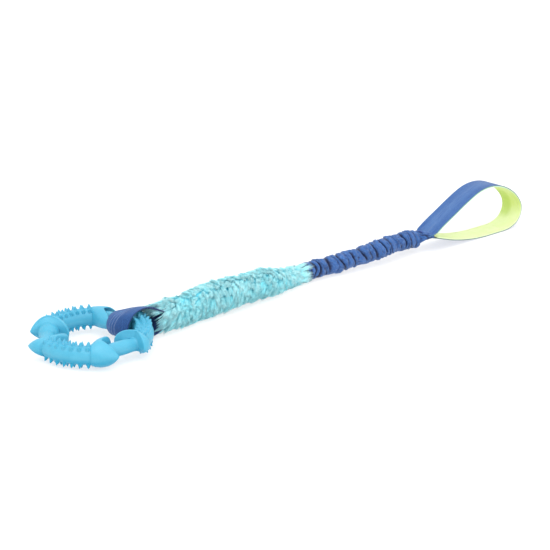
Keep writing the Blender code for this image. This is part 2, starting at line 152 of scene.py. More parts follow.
def make_mesh(name, verts, faces, mat, values=None, vectors=None, tidy=True, sharp=None, map_uv=None):
    """An object from arrays: verts (n, 3) in metres, faces a list of index arrays of one width each."""
    verts = np.asarray(verts, float).reshape(-1, 3)
    mesh = bpy.data.meshes.new(name)
    mesh.vertices.add(len(verts))
    mesh.vertices.foreach_set("co", verts.astype(np.float32).ravel())
    loops = np.concatenate([np.asarray(f).ravel() for f in faces])
    widths = np.concatenate([np.full(len(f), np.asarray(f).shape[1]) for f in faces])
    starts = np.concatenate([[0], np.cumsum(widths)[:-1]])
    mesh.loops.add(len(loops))
    mesh.loops.foreach_set("vertex_index", loops.astype(np.int32))
    mesh.polygons.add(len(widths))
    mesh.polygons.foreach_set("loop_start", starts.astype(np.int32))
    mesh.update(calc_edges=True)
    for key, data in (values or {}).items():
        a = mesh.attributes.new(key, "FLOAT", "POINT")
        a.data.foreach_set("value", np.asarray(data, np.float32).ravel())
    for key, data in (vectors or {}).items():
        a = mesh.attributes.new(key, "FLOAT_VECTOR", "POINT")
        a.data.foreach_set("vector", np.asarray(data, np.float32).ravel())
    if map_uv is not None:
        layer = mesh.uv_layers.new(name="OFBake")
        layer.data.foreach_set("uv", np.asarray(map_uv, np.float32)[loops].ravel())
    if tidy:
        bm = bmesh.new()
        bm.from_mesh(mesh)
        bmesh.ops.recalc_face_normals(bm, faces=bm.faces)
        bm.to_mesh(mesh)
        bm.free()
    mesh.shade_smooth()
    if sharp:
        mesh.set_sharp_from_angle(angle=math.radians(sharp))
    mesh.materials.append(mat)
    obj = bpy.data.objects.new(name, mesh)
    bpy.context.scene.collection.objects.link(obj)
    return obj


# ---------------------------------------------------------------- materials
class Nodes:
    """A short way to write a node tree."""

    def __init__(self, name):
        self.mat = bpy.data.materials.new(name)
        self.mat.use_nodes = True
        self.tree = self.mat.node_tree
        self.shader = self.tree.nodes["Principled BSDF"]

    def put(self, socket, value):
        if isinstance(value, bpy.types.NodeSocket):
            self.tree.links.new(value, socket)
        elif value is not None:
            socket.default_value = value

    def node(self, kind, ins=None, out=0, **facts):
        n = self.tree.nodes.new(kind)
        for k, v in facts.items():
            setattr(n, k, v)
        for k, v in (ins or {}).items():
            self.put(n.inputs[k], v)
        return n.outputs[out]

    def attribute(self, name, out="Fac"):
        return self.node("ShaderNodeAttribute", out=out, attribute_name=name)

    def split(self, vector, axis):
        return self.node("ShaderNodeSeparateXYZ", {0: vector}, axis)

    def math(self, operation, a, b=None, c=None, clamp=False):
        return self.node(
            "ShaderNodeMath",
            {k: v for k, v in ((0, a), (1, b), (2, c)) if v is not None},
            operation=operation,
            use_clamp=clamp,
        )

    def remap(self, value, a, b, c=0.0, d=1.0, kind="SMOOTHSTEP"):
        return self.node(
            "ShaderNodeMapRange", {0: value, 1: a, 2: b, 3: c, 4: d}, interpolation_type=kind
        )

    def mix(self, factor, a, b, blend="MIX"):
        n = self.tree.nodes.new("ShaderNodeMix")
        n.data_type = "RGBA"
        n.blend_type = blend
        self.put(n.inputs[0], factor)
        for socket, v in ((n.inputs[6], a), (n.inputs[7], b)):
            self.put(socket, (*v, 1.0) if isinstance(v, tuple) and len(v) == 3 else v)
        return n.outputs[2]

    def noise(self, vector, scale, detail=2.0, rough=0.5, out=0):
        return self.node(
            "ShaderNodeTexNoise",
            {"Vector": vector, "Scale": scale, "Detail": detail, "Roughness": rough},
            out,
        )

    def bump(self, height, distance, strength=1.0, normal=None):
        ins = {"Height": height, "Distance": distance, "Strength": strength}
        if normal is not None:
            ins["Normal"] = normal
        return self.node("ShaderNodeBump", ins)

    def set(self, **values):
        for key, v in values.items():
            socket = self.shader.inputs[key.replace("_", " ")]
            self.put(socket, (*v, 1.0) if isinstance(v, tuple) and len(v) == 3 and "Color" in key or key.endswith("Tint") and isinstance(v, tuple) and len(v) == 3 else v)
        return self.mat


TONE = 0.82


def srgb(r, g, b, tone=TONE):
    def one(c):
        c /= 255.0
        return (c / 12.92 if c <= 0.04045 else ((c + 0.055) / 1.055) ** 2.4) * tone

    return one(r), one(g), one(b)


def ring_material():
    n = Nodes("soft_sky_blue_rubber")
    where = n.node("ShaderNodeTexCoord", out="Object")
    cloud = n.noise(where, 55.0, 3.0)
    fine = n.noise(where, 900.0, 3.0, 0.6)
    colour = n.mix(n.remap(cloud, 0.35, 0.65), srgb(70, 178, 212), srgb(82, 185, 218))
    colour = n.mix(n.remap(fine, 0.4, 0.75, 0.0, 0.25), colour, srgb(100, 203, 232))
    # painted shade: deeper blue on the underside, which faces away from the light
    colour = n.mix(n.attribute("under"), colour, srgb(0, 166, 206))
    rough = n.remap(fine, 0.3, 0.7, 0.36, 0.48)
    normal = n.bump(fine, 0.00006, 0.35)
    normal = n.bump(cloud, 0.0004, 0.2, normal)
    n.set(Base_Color=colour, Roughness=rough, Normal=normal)
    n.set(Subsurface_Weight=0.12, Subsurface_Scale=0.004, Coat_Weight=0.1, Coat_Roughness=0.4)
    n.shader.inputs["Subsurface Radius"].default_value = (0.3, 0.9, 1.0)
    n.shader.inputs["Specular IOR Level"].default_value = 0.5
    return n.mat


def webbing_material(name, base, light, dark, streak=0.0, dots=False, edge=None):
    """Woven webbing. The attribute cloth holds mm along, mm across from the middle, and 1 on the outer face."""
    n = Nodes(name)
    cloth = n.attribute("cloth", "Vector")
    along, across, face = (n.split(cloth, k) for k in range(3))
    rib = n.math("SINE", n.math("MULTIPLY", across, 2 * PI / 1.2))
    weft = n.math("SINE", n.math("MULTIPLY", along, 2 * PI / 1.0))
    cross = n.math("MULTIPLY", rib, weft)
    fray = n.noise(n.node("ShaderNodeMapping", {"Vector": cloth, "Scale": (0.35, 2.4, 1.0)}), 1.0, 4.0, 0.65)
    patch = n.noise(n.node("ShaderNodeMapping", {"Vector": cloth, "Scale": (0.05, 0.12, 1.0)}), 1.0, 2.0)
    colour = n.mix(n.remap(rib, -1.0, 0.6), dark, base)
    colour = n.mix(n.remap(fray, 0.42, 0.72, 0.0, 0.75), colour, light)
    colour = n.mix(n.remap(cross, 0.1, 1.0, 0.0, 0.22), colour, light)
    colour = n.mix(n.remap(patch, 0.4, 0.62, 0.0, 0.3), colour, dark)
    if streak:
        middle = n.remap(n.math("ABSOLUTE", n.math("ADD", across, -1.0)), 10.5, 2.0)
        lines = n.noise(n.node("ShaderNodeMapping", {"Vector": cloth, "Scale": (0.04, 1.5, 1.0)}), 1.0, 3.0, 0.7)
        amount = n.math("MULTIPLY", middle, n.remap(lines, 0.4, 0.6, 0.05, streak))
        colour = n.mix(amount, colour, srgb(112, 150, 200))
    if dots:
        rows_shift = n.math("ABSOLUTE", n.math("ROUND", n.math("MULTIPLY", across, 1 / 3.2)))
        ax = n.math("ABSOLUTE", n.math("ADD", n.math("PINGPONG", n.math("ADD", n.math("ADD", along, n.math("MULTIPLY", rows_shift, 0.9)), 100.0), 1.3), -0.65))
        rows = []
        for column in (-3.2, 0.0, 3.2):
            d = n.math("ABSOLUTE", n.math("ADD", across, -column))
            rows.append(n.remap(d, 1.0, 0.3))
        row = n.math("MAXIMUM", n.math("MAXIMUM", rows[0], rows[1]), rows[2])
        dot = n.math("MULTIPLY", row, n.remap(ax, 0.26, 0.46))
        dot = n.math("MULTIPLY", dot, n.remap(fray, 0.3, 0.55, 0.35, 1.0))
        dot = n.math("MULTIPLY", dot, face)
        colour = n.mix(n.math("MULTIPLY", dot, 0.42), colour, srgb(170, 190, 220))
        # painted shade: the inner face, inside the loop, darkened towards navy
        inside = n.math("SUBTRACT", 1.0, face)
        colour = n.mix(n.math("MULTIPLY", inside, 0.55), colour, srgb(20, 36, 96))
    if edge:
        rim = n.remap(n.math("ABSOLUTE", across), 14.3, 14.8)
        colour = n.mix(n.math("MULTIPLY", rim, 0.85), colour, edge)
    height = n.math("ADD", n.math("MULTIPLY", cross, 0.5), n.math("MULTIPLY", fray, 0.8))
    n.set(Base_Color=colour, Roughness=n.remap(fray, 0.3, 0.7, 0.62, 0.8), Normal=n.bump(height, 0.00012, 0.6))
    n.set(Sheen_Weight=0.2, Sheen_Roughness=0.5)
    n.shader.inputs["Specular IOR Level"].default_value = 0.3
    return n.mat


def nylon_material(name, hollow=True):
    """Gathered nylon. The attribute cloth holds mm along the cloth and mm round it, hollow how deep in a fold, painted
    as shade.
    """
    n = Nodes(name)
    cloth = n.attribute("cloth", "Vector")
    u, v = n.split(cloth, 0), n.split(cloth, 1)
    weave = n.math(
        "MULTIPLY",
        n.math("SINE", n.math("MULTIPLY", u, 2 * PI / 0.9)),
        n.math("SINE", n.math("MULTIPLY", v, 2 * PI / 0.9)),
    )
    fine = n.noise(cloth, 0.9, 4.0, 0.7)
    streaks = n.noise(n.node("ShaderNodeMapping", {"Vector": cloth, "Scale": (1.1, 0.3, 1.0)}), 1.0, 3.0, 0.7)
    patch = n.noise(cloth, 0.16, 2.0)
    base = n.mix(n.remap(patch, 0.35, 0.65), srgb(30, 90, 168), srgb(42, 106, 186))
    colour = n.mix(n.remap(fine, 0.45, 0.75, 0.0, 0.5), base, srgb(92, 146, 212))
    # painted highlight: pale glints of light along the streaks; the low end of the same streaks is a darker tone
    colour = n.mix(n.remap(streaks, 0.5, 0.72, 0.0, 0.75), colour, srgb(116, 164, 222))
    colour = n.mix(n.remap(streaks, 0.47, 0.3, 0.0, 0.6), colour, srgb(22, 56, 124))
    colour = n.mix(n.remap(weave, 0.0, 1.0, 0.0, 0.25), colour, srgb(24, 62, 130))
    if hollow:
        # painted shade: darker towards navy the deeper in a fold
        deep = n.attribute("hollow")
        colour = n.mix(n.remap(deep, 0.12, 0.8, 0.0, 0.95), colour, srgb(10, 26, 74))
    height = n.math("ADD", n.math("MULTIPLY", weave, 0.35), fine)
    n.set(Base_Color=colour, Roughness=n.remap(fine, 0.3, 0.7, 0.38, 0.56), Normal=n.bump(height, 0.0004, 0.8))
    n.set(Sheen_Weight=0.15, Sheen_Roughness=0.4)
    n.shader.inputs["Specular IOR Level"].default_value = 0.5
    return n.mat


def fur_material():
    """Pile. The attribute tip runs from 0 at the root to 1, lock is one value for each lock, raised on top strands as
    painted light.
    """
    n = Nodes("aqua_faux_fur")
    tip, lock = n.attribute("tip"), n.attribute("lock")
    root = n.mix(lock, srgb(88, 212, 232, 1.06), srgb(138, 229, 240, 1.06))
    middle = n.mix(lock, srgb(112, 222, 236, 1.06), srgb(176, 241, 247, 1.05))
    end = n.mix(lock, srgb(134, 230, 241, 1.06), srgb(212, 248, 250, 1.03))
    colour = n.mix(n.remap(tip, 0.05, 0.5), root, middle)
    colour = n.mix(n.remap(tip, 0.4, 1.0), colour, end)
    n.set(Base_Color=colour, Roughness=n.remap(lock, 0.0, 1.0, 0.6, 0.78))
    n.set(Sheen_Weight=0.2, Sheen_Roughness=0.6)
    n.shader.inputs["Specular IOR Level"].default_value = 0.15
    return n.mat


def plain_cloth(name, a, b, scale=1200.0, rough=0.85, bump=0.00008):
    n = Nodes(name)
    where = n.node("ShaderNodeTexCoord", out="Object")
    fine = n.noise(where, scale, 4.0, 0.65)
    patch = n.noise(where, scale * 0.06, 2.0)
    colour = n.mix(n.remap(fine, 0.35, 0.65), a, b)
    colour = n.mix(n.remap(patch, 0.4, 0.6, 0.0, 0.3), colour, a)
    n.set(Base_Color=colour, Roughness=n.remap(fine, 0.3, 0.7, rough - 0.06, rough + 0.06), Normal=n.bump(fine, bump, 0.6))
    n.set(Sheen_Weight=0.2, Sheen_Roughness=0.5)
    return n.mat


def lining_material():
    """Soft knit lining, neon yellow-green, with a mint cut edge. cloth holds mm along and across."""
    n = Nodes("neon_lining")
    cloth = n.attribute("cloth", "Vector")
    across = n.split(cloth, 1)
    fine = n.noise(cloth, 1.6, 4.0, 0.7)
    patch = n.noise(n.node("ShaderNodeMapping", {"Vector": cloth, "Scale": (0.05, 0.09, 1.0)}), 1.0, 3.0, 0.6)
    colour = n.mix(n.remap(fine, 0.35, 0.65), srgb(236, 250, 184, 0.86), srgb(244, 253, 208, 0.86))
    colour = n.mix(n.remap(patch, 0.42, 0.6, 0.0, 0.3), colour, srgb(230, 247, 166, 0.86))
    # painted shade: deeper where the cloth turns, which lies in shade
    along = n.split(cloth, 0)
    turn = n.math("MULTIPLY", n.remap(along, 112.0, 150.0), n.remap(along, 206.0, 178.0))
    colour = n.mix(n.math("MULTIPLY", turn, n.remap(patch, 0.3, 0.7, 0.75, 1.0)), colour, srgb(218, 238, 132, 0.84))
    # painted shadow: a deeper green patch on the far turn's inner side, where the upper strand shades it
    inner = n.math("MULTIPLY", n.remap(along, 150.0, 166.0), n.remap(along, 210.0, 196.0))
    inner = n.math("MULTIPLY", inner, n.remap(n.math("ADD", across, n.math("MULTIPLY", patch, 6.0)), 1.0, 8.0))
    colour = n.mix(n.math("MULTIPLY", inner, 0.55), colour, srgb(186, 220, 76, 0.82))
    rim = n.math("MULTIPLY", n.remap(n.math("ABSOLUTE", across), 14.5, 14.9), n.remap(along, 190.0, 120.0, 0.3, 1.0))
    colour = n.mix(n.math("MULTIPLY", rim, 0.9), colour, srgb(206, 246, 226, 0.86))
    n.set(Base_Color=colour, Roughness=n.remap(fine, 0.3, 0.7, 0.78, 0.92), Normal=n.bump(fine, 0.00015, 0.5))
    n.set(Sheen_Weight=0.2, Sheen_Roughness=0.5)
    n.shader.inputs["Specular IOR Level"].default_value = 0.2
    return n.mat


def thread_material(name, a, b):
    n = Nodes(name)
    where = n.node("ShaderNodeTexCoord", out="Object")
    ply = n.node("ShaderNodeTexWave", {"Vector": where, "Scale": 900.0, "Distortion": 2.0}, 1, bands_direction="DIAGONAL")
    n.set(Base_Color=n.mix(ply, a, b), Roughness=n.remap(ply, 0.0, 1.0, 0.5, 0.65), Normal=n.bump(ply, 0.00005, 0.5))
    return n.mat


RUBBER = ring_material()
STRAP_CLOTH = webbing_material(
    "royal_webbing_dotted", srgb(36, 87, 152), srgb(70, 121, 184), srgb(22, 56, 114), dots=True, edge=srgb(22, 46, 100)
)
HANDLE_CLOTH = webbing_material(
    "royal_webbing", srgb(55, 107, 177), srgb(84, 134, 193), srgb(38, 82, 150), streak=0.4, edge=srgb(96, 150, 150)
)
NYLON = nylon_material("royal_nylon")
FUR = fur_material()
BACKING = plain_cloth("aqua_backing", srgb(74, 206, 232, 1.0), srgb(100, 218, 238, 1.0))
LINING = lining_material()
BLUE_THREAD = thread_material("royal_thread", srgb(40, 66, 150), srgb(84, 112, 190))
AQUA_THREAD = thread_material("aqua_thread", srgb(60, 170, 190), srgb(150, 220, 226))
MINT_THREAD = thread_material("mint_thread", srgb(232, 248, 178), srgb(242, 252, 204))
ELASTIC = plain_cloth("white_elastic", srgb(206, 208, 206), srgb(236, 236, 232), 1500.0, 0.7)
LEAD_CLOTH = plain_cloth("royal_lead_webbing", srgb(40, 62, 140), srgb(72, 100, 180), 900.0, 0.72)


# ---------------------------------------------------------------- chew ring
RING_R, TUBE_R, BAR_R = 50.0, 9.2, 6.7
LOBE_END, SEAM, RING_TURN = 32.0, 27.5, -35.6
PITCH, SPIKE_HIGH, SPIKE_BASE = 8.33, 4.5, 2.15


def direction(deg):
    a = math.radians(deg)
    return np.array([math.cos(a), math.sin(a), 0.0])


UP = np.array([0.0, 0.0, 1.0])
ROWS = (56.0, 90.0, 124.0, 236.0, 270.0, 304.0)


def round_angles():
    """Angles round the tube, in degrees, with one on each row of spikes."""
    out = []
    for a, b, n in ((56, 90, 14), (90, 124, 14), (124, 236, 42), (236, 270, 14), (270, 304, 14), (304, 416, 42)):
        out += [a + (b - a) * k / n for k in range(n)]
    return np.array(out)


PHI = np.radians(round_angles())


def spiked_arc():
    """Rings of the spiked tube, from one seam to the other."""
    steps_pitch = 18
    at = [k * PITCH / steps_pitch for k in range(-3 * steps_pitch, 3 * steps_pitch + 1)]
    edge = SEAM - at[-1]
    at = [-SEAM + edge * k / 6 for k in range(6)] + at + [at[-1] + edge * k / 6 for k in range(1, 7)]
    rings = []
    for a in at:
        high = np.zeros(len(PHI))
        for row in ROWS:
            turn = (np.degrees(PHI) - row + 180.0) % 360.0 - 180.0
            for k in range(-3, 4):
                du = np.radians(a - k * PITCH) * (RING_R + TUBE_R * math.cos(math.radians(row)))
                if abs(du) > 4.5:
                    continue
                dv = np.radians(turn) * TUBE_R
                u = np.sqrt(du**2 + dv**2) / SPIKE_BASE
                u = np.sqrt(u * u + 0.012) - 0.09
                flank = 1.0 - u
                high = np.maximum(high, 0.5 * (flank + np.sqrt(flank * flank + 0.012)) - 0.0)
        far = SPIKE_HIGH * np.where(high > 0.02, high - 0.02, 0.0)
        r = TUBE_R + far
        out = direction(a)
        rings.append(
            out * RING_R + (np.cos(PHI) * r)[:, None] * out + (np.sin(PHI) * r)[:, None] * UP
        )
    return rings


# For each end of a lobe: half-height up and down, half-width out and in, how far the rim's top,
# outer tip and inner tip reach along the bar, how pointed the outer half is, and for a boss on
# the face its place along the bar, half-width, half-height and length
ENDS = {
    "tall_b": (13.6, 13.4, 18.5, 15.8, 7.0, 15.5, 25.0, 0.72, (8.6, 9.4, 9.4, 5.2)),
    "tall_a": (14.2, 12.4, 18.5, 20.3, 0.5, 7.0, 17.5, 0.72, (8.2, 10.4, 9.6, 14.6)),
    "tall_c": (14.8, 10.6, 19.3, 18.2, 4.0, 11.0, 21.0, 0.6, (6.4, 9.4, 8.6, 5.2)),
    "low_a": (9.8, 9.4, 18.8, 20.3, 0.0, 3.6, 19.0, 0.72, None),
    "low_b": (14.0, 7.6, 19.0, 18.2, 0.0, 2.4, 15.0, 0.2, None),
    "low_c": (10.8, 8.8, 18.5, 16.4, 9.0, 12.6, 25.0, 0.72, None),
}


def collar(facts, sign):
    """Rings from the seam over the collar's rim and its face to the bar's root, the lobe's middle at azimuth 0. sign 1 is the counter-clockwise end."""
    up_h, down_h, out_w, in_w, s_top, s_out, s_in, point, boss = facts
    c, s = np.cos(PHI), np.sin(PHI)
    away, inner = np.abs(c), np.clip(-c, 0.0, 1.0)
    wide = np.where(c >= 0, out_w, in_w)
    high = np.where(s >= 0, up_h, down_h)
    # the outer half runs to a point, the inner half is full
    outline = np.where(c >= 0, (1 - point) * s + point * s * np.abs(s), np.sign(s) * np.sqrt(np.maximum(1 - away**2.8, 0.0)))
    reach = s_top + np.where(c >= 0, (s_out - s_top) * away**1.5, (s_in - s_top) * away**1.15)
    start = direction(SEAM) * RING_R
    end = direction(LOBE_END) * RING_R
    out_end, way = direction(60.0), direction(150.0)
    rings = []

    def ring(centre, out, w, h, shaped, ahead):
        up = h * ((1 - shaped) * s + shaped * outline)
        p = centre + (w * c)[:, None] * out + up[:, None] * UP + np.asarray(ahead)[:, None] * way
        rings.append(p)

    steps = 22
    for k in range(steps + 1):
        t = k / steps
        grow = math.sin(t * PI / 2) ** 0.95
        lip = 0.55 * (1 - smooth(t * 3.0))
        w = TUBE_R + lip + (wide - TUBE_R) * grow
        h = TUBE_R + lip + (high - TUBE_R) * grow
        out = direction(SEAM + (60.0 - SEAM) * float(smooth(t)))
        ring(start + (end - start) * t + direction(SEAM + 90) * 0.25, out, w, h, t**1.5, reach * t**1.6)
    # round rim, then the face
    ring(end, out_end, wide - 0.15, high - 0.1, 1.0, reach + 0.5)
    ring(end, out_end, wide - 0.5, high - 0.4, 1.0, reach + 0.85)
    ring(end, out_end, wide - 1.0, high - 0.8, 1.0, reach + 1.0)
    ring(end, out_end, wide - 1.5, high - 1.2, 1.0, reach + 0.95)
    at0, boss_w, boss_h, long = boss or (2.8, 7.1, 6.95, 3.6)
    at = at0 + np.maximum(0.78 * s_in - at0, 0.0) * inner**1.2
    face = 14
    for k in range(1, face + 1):
        t = k / face
        w = (wide - 1.5) + (boss_w - (wide - 1.5)) * t
        h = (high - 1.2) + (boss_h - (high - 1.2)) * t
        ahead = reach + 0.95 + (at - reach - 0.95) * t
        ring(end, out_end, w, h, (1 - t) ** 1.3, ahead)
    if long > 10:
        walls = ((0.0, 0.6), (0.03, 2.5), (0.06, 5.0), (0.14, 7.5), (0.3, 9.5), (0.58, 11.3), (0.82, 13.0), (1.0, 14.6))
    elif boss:
        walls = ((0.0, 0.7), (0.06, 1.2), (0.2, 1.5), (0.5, 2.0), (0.75, 2.6), (0.92, 3.6), (1.0, 5.2))
    else:
        walls = ((0.2, 0.5), (0.5, 1.3), (0.8, 2.4), (1.0, 3.6))
    root_at, root = at0 + walls[-1][1], 6.55
    for k, ahead in walls:
        left = 1 - ahead / walls[-1][1]
        w, h = boss_w + (root - boss_w) * k, boss_h + (root - boss_h) * k
        ring(end, out_end, w, h, 0.0, at0 + ahead + (at - at0) * left**1.5)
    if sign < 0:
        rings = [r * np.array([1.0, -1.0, 1.0]) for r in rings]
    return rings, root_at, root


def place_ring():
    bar_azimuth = RING_TURN + 60.0
    bar_axis = RING_R * math.cos(math.radians(60.0 - LOBE_END))
    way = Vector(direction(bar_azimuth - 90.0))
    tilt = math.asin(1.7 / (bar_axis + RING_R * math.cos(math.radians(LOBE_END))))
    hold = -Vector(direction(bar_azimuth)) * RING_R * math.cos(math.radians(LOBE_END))
    lifted = Matrix.Translation(hold) @ Matrix.Rotation(tilt, 4, way) @ Matrix.Translation(-hold)
    return np.array(Matrix.Scale(MM, 4) @ Matrix.Translation((-CENTRE_X, -CENTRE_Y, 13.95)) @ lifted)


def make_ring():
    place_m = place_ring()
    arc = spiked_arc()
    # third 0 is the near right lobe, 1 the far one, 2 the near left one
    kinds = [("low_b", "tall_c"), ("low_c", "tall_a"), ("low_a", "tall_b")]
    lobes, ends = [], []
    for third, (before, after) in enumerate(kinds):
        a = math.radians(RING_TURN + 120.0 * third)
        turn = np.array([[math.cos(a), -math.sin(a), 0], [math.sin(a), math.cos(a), 0], [0, 0, 1]])
        first, first_at, first_r = collar(ENDS[before], -1)
        last, last_at, last_r = collar(ENDS[after], 1)
        rings = list(reversed(first)) + arc + last
        lobes.append([r @ turn.T for r in rings])
        ends.append((first_at, first_r, last_at, last_r))
    rings = []
    long = 2 * RING_R * math.sin(math.radians(60.0 - LOBE_END))
    for third in range(3):
        rings += lobes[third]
        bar_az = RING_TURN + 120.0 * third + 60.0
        out, way = direction(bar_az), direction(bar_az + 90.0)
        start_at, end_at = ends[third][2], long - ends[(third + 1) % 3][0]
        r0, r1 = ends[third][3], ends[(third + 1) % 3][1]
        mid = out * RING_R * math.cos(math.radians(60.0 - LOBE_END))
        for k in range(1, 20):
            t = k / 20
            at = start_at + (end_at - start_at) * t - long / 2
            r = r0 + (r1 - r0) * t + 0.75 * math.sin(PI * t) ** 0.9
            rings.append(mid + way * at + r * (np.cos(PHI)[:, None] * out + np.sin(PHI)[:, None] * UP))
    p = np.stack(rings)
    p = p @ place_m[:3, :3].T + place_m[:3, 3]
    p[..., 2] = np.maximum(p[..., 2], 0.00005)
    # painted shade mask: 1 on the tube's underside, where the rubber is painted a deeper blue
    under = np.broadcast_to(smooth((-np.sin(PHI) + 0.02) / 0.55), p.shape[:2])
    obj = make_mesh("chew_ring_rubber", p, [grid_faces(len(rings), len(PHI), True, True)], RUBBER, values={"under": under})
    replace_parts(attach(obj, "ring"), "chew_ring")
    return obj


# ---------------------------------------------------------------- strips of webbing and cloth
def strip(name, middle, normal, thick_out, thick_in, along, across, mat, extra=None):
    """A closed strip from a grid of middle points (n, m, 3) in metres, unit normals and thicknesses in metres on both sides."""
    n, m = middle.shape[:2]
    outer = middle + normal * thick_out[..., None]
    inner = middle - normal * thick_in[..., None]
    verts = np.concatenate([outer.reshape(-1, 3), inner.reshape(-1, 3)])
    top = grid_faces(n, m)
    low = grid_faces(n, m, start=n * m, flip=True)
    k = n * m
    edges = []
    for j, turn in ((0, False), (m - 1, True)):
        a = np.arange(n - 1) * m + j
        b = a + m
        q = np.stack([a, b, b + k, a + k], -1)
        edges.append(q[:, ::-1] if turn else q)
    for i, turn in ((0, True), (n - 1, False)):
        a = np.arange(m - 1) + i * m
        b = a + 1
        q = np.stack([a, b, b + k, a + k], -1)
        edges.append(q[:, ::-1] if turn else q)
    cloth = np.concatenate(
        [
            np.stack([along, across, np.ones_like(along)], -1).reshape(-1, 3),
            np.stack([along, across, np.zeros_like(along)], -1).reshape(-1, 3),
        ]
    )
    return make_mesh(name, verts, [top, low, *edges], mat, vectors={"cloth": cloth}, values=extra)


STRAP_LINES = (
    (
        (83.0, 0.0, 18.7), (72.0, 5.0, 22.4), (58.0, 12.0, 24.8), (46.0, 15.6, 25.2),
        (36.3, 16.6, 25.0), (29.6, 16.9, 21.0), (27.6, 16.9, 15.5), (29.5, 16.4, 9.4),
        (36.5, 14.5, 4.8), (48.0, 11.0, 4.4), (60.0, 7.0, 11.0), (73.0, 2.4, 16.0),
        (83.0, 0.0, 15.7),
    ),
    (
        (83.0, -8.0, 18.7), (72.0, -6.0, 25.2), (59.0, -2.5, 30.4), (46.0, -0.2, 31.0),
        (31.5, 1.0, 27.6), (24.5, 1.4, 21.5), (22.6, 1.3, 15.5), (24.5, 0.8, 9.0),
        (32.5, -1.0, 5.4), (48.0, -3.5, 3.2), (62.0, -5.2, 4.8), (74.5, -7.0, 10.4),
        (83.0, -8.0, 15.7),
    ),
    (
        (83.0, -16.0, 18.7), (73.0, -17.0, 26.4), (62.0, -16.6, 32.2), (51.5, -15.0, 34.0),
        (41.0, -14.0, 30.8), (34.0, -13.8, 22.6), (32.0, -14.0, 17.0), (33.5, -14.6, 11.4),
        (40.0, -15.6, 6.6), (51.0, -16.6, 4.0), (64.0, -17.2, 4.2), (75.5, -17.0, 9.6),
        (83.0, -16.0, 15.7),
    ),
)


def grid_normals(p):
    du = np.gradient(p, axis=0)
    dv = np.gradient(p, axis=1)
    return unit(np.cross(du, dv))


def edge_round(share, half, width):
    """1 inside, rounding to a fifth at the edges, for a distance across in mm."""
    d = np.clip((np.abs(share) - (half - width)) / width, 0, 1)
    return np.sqrt(np.maximum(1 - d * d * 0.94, 0.0))


def make_strap():
    n, m = 260, 127
    lines = [through(line, n - 1) for line in STRAP_LINES]
    u = np.linspace(0, 1, m)
    a, b, d = (1 - u) * (1 - 2 * u), 4 * u * (1 - u), u * (2 * u - 1)
    p = (
        lines[0][:, None, :] * a[None, :, None]
        + lines[1][:, None, :] * b[None, :, None]
        + lines[2][:, None, :] * d[None, :, None]
    )
    normal = grid_normals(p)
    # outwards is away from the loop's inside
    centre = p.mean(axis=(0, 1))
    if np.sum((p[40, m // 2] - centre) * normal[40, m // 2]) < 0:
        normal = -normal
    step = np.linalg.norm(np.diff(lines[1], axis=0), axis=1)
    along = np.concatenate([[0], np.cumsum(step)])[:, None] * np.ones((1, m))
    across = (u[None, :] - 0.5) * 30.0 * np.ones((n, 1))
    rib = 0.085 * np.cos(2 * PI * across / 1.2)
    weft = 0.03 * np.cos(2 * PI * along / 1.0 + PI * np.round(across / 1.2))
    sag = 0.25 * waves(5, 14, 14.0, 40.0, along, across)
    half = 0.62 * edge_round(across, 15.0, 0.9)
    out = half + (rib + weft) * edge_round(across, 15.0, 0.9)
    p = p + normal * (sag * smooth((along - 4) / 8) * smooth((along[-1, 0] - along - 4) / 8))[..., None]
    obj = strip(
        "ring_strap_webbing", place(p), normal, out * MM, (half + rib) * MM, along, across, STRAP_CLOTH
    )
    low = min(v.co.z for v in obj.data.vertices)
    if low < 0.00005:
        for v in obj.data.vertices:
            v.co.z = max(v.co.z, 0.00005)
    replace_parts(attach(obj, "strap"), "ring_strap")
    return obj


LOOP_TOP = [
    (466.6, 19.3), (474.6, 22.6), (486.0, 29.5), (505.0, 39.4), (525.5, 50.0), (544.0, 58.2),
    (558.0, 61.6), (574.0, 61.8), (590.0, 58.2), (605.0, 51.0), (617.6, 41.0),
    (626.0, 29.0), (626.4, 17.0), (619.0, 6.6), (606.0, 1.2), (596.0, 0.0),
]
LOOP_BOTTOM = [(562.0, 0.0), (544.0, 1.0), (522.0, 4.0), (503.0, 8.0), (488.0, 12.4), (474.6, 16.2), (466.6, 17.6)]


def loop_outline(step=0.8):
    """The loop's outer face seen from the side, evenly spaced: points (n, 2) in mm and inward normals."""
    first = through(LOOP_TOP, 240)
    second = through(LOOP_BOTTOM, 80)
    flat = np.stack([np.linspace(596.0, 562.0, 24)[1:-1], np.zeros(22)], 1)
    line = np.concatenate([first, flat, second])
    line[:, 1] = np.maximum(line[:, 1], 0.0)
    lengths = np.concatenate([[0], np.cumsum(np.linalg.norm(np.diff(line, axis=0), axis=1))])
    at = np.arange(0, lengths[-1], step)
    p = np.stack([np.interp(at, lengths, line[:, 0]), np.interp(at, lengths, line[:, 1])], 1)
    for _ in range(6):
        p[1:-1] = 0.25 * p[:-2] + 0.5 * p[1:-1] + 0.25 * p[2:]
    d = np.gradient(p, axis=0)
    d = unit(d)
    inward = np.stack([d[:, 1], -d[:, 0]], 1)
    return p, inward, at


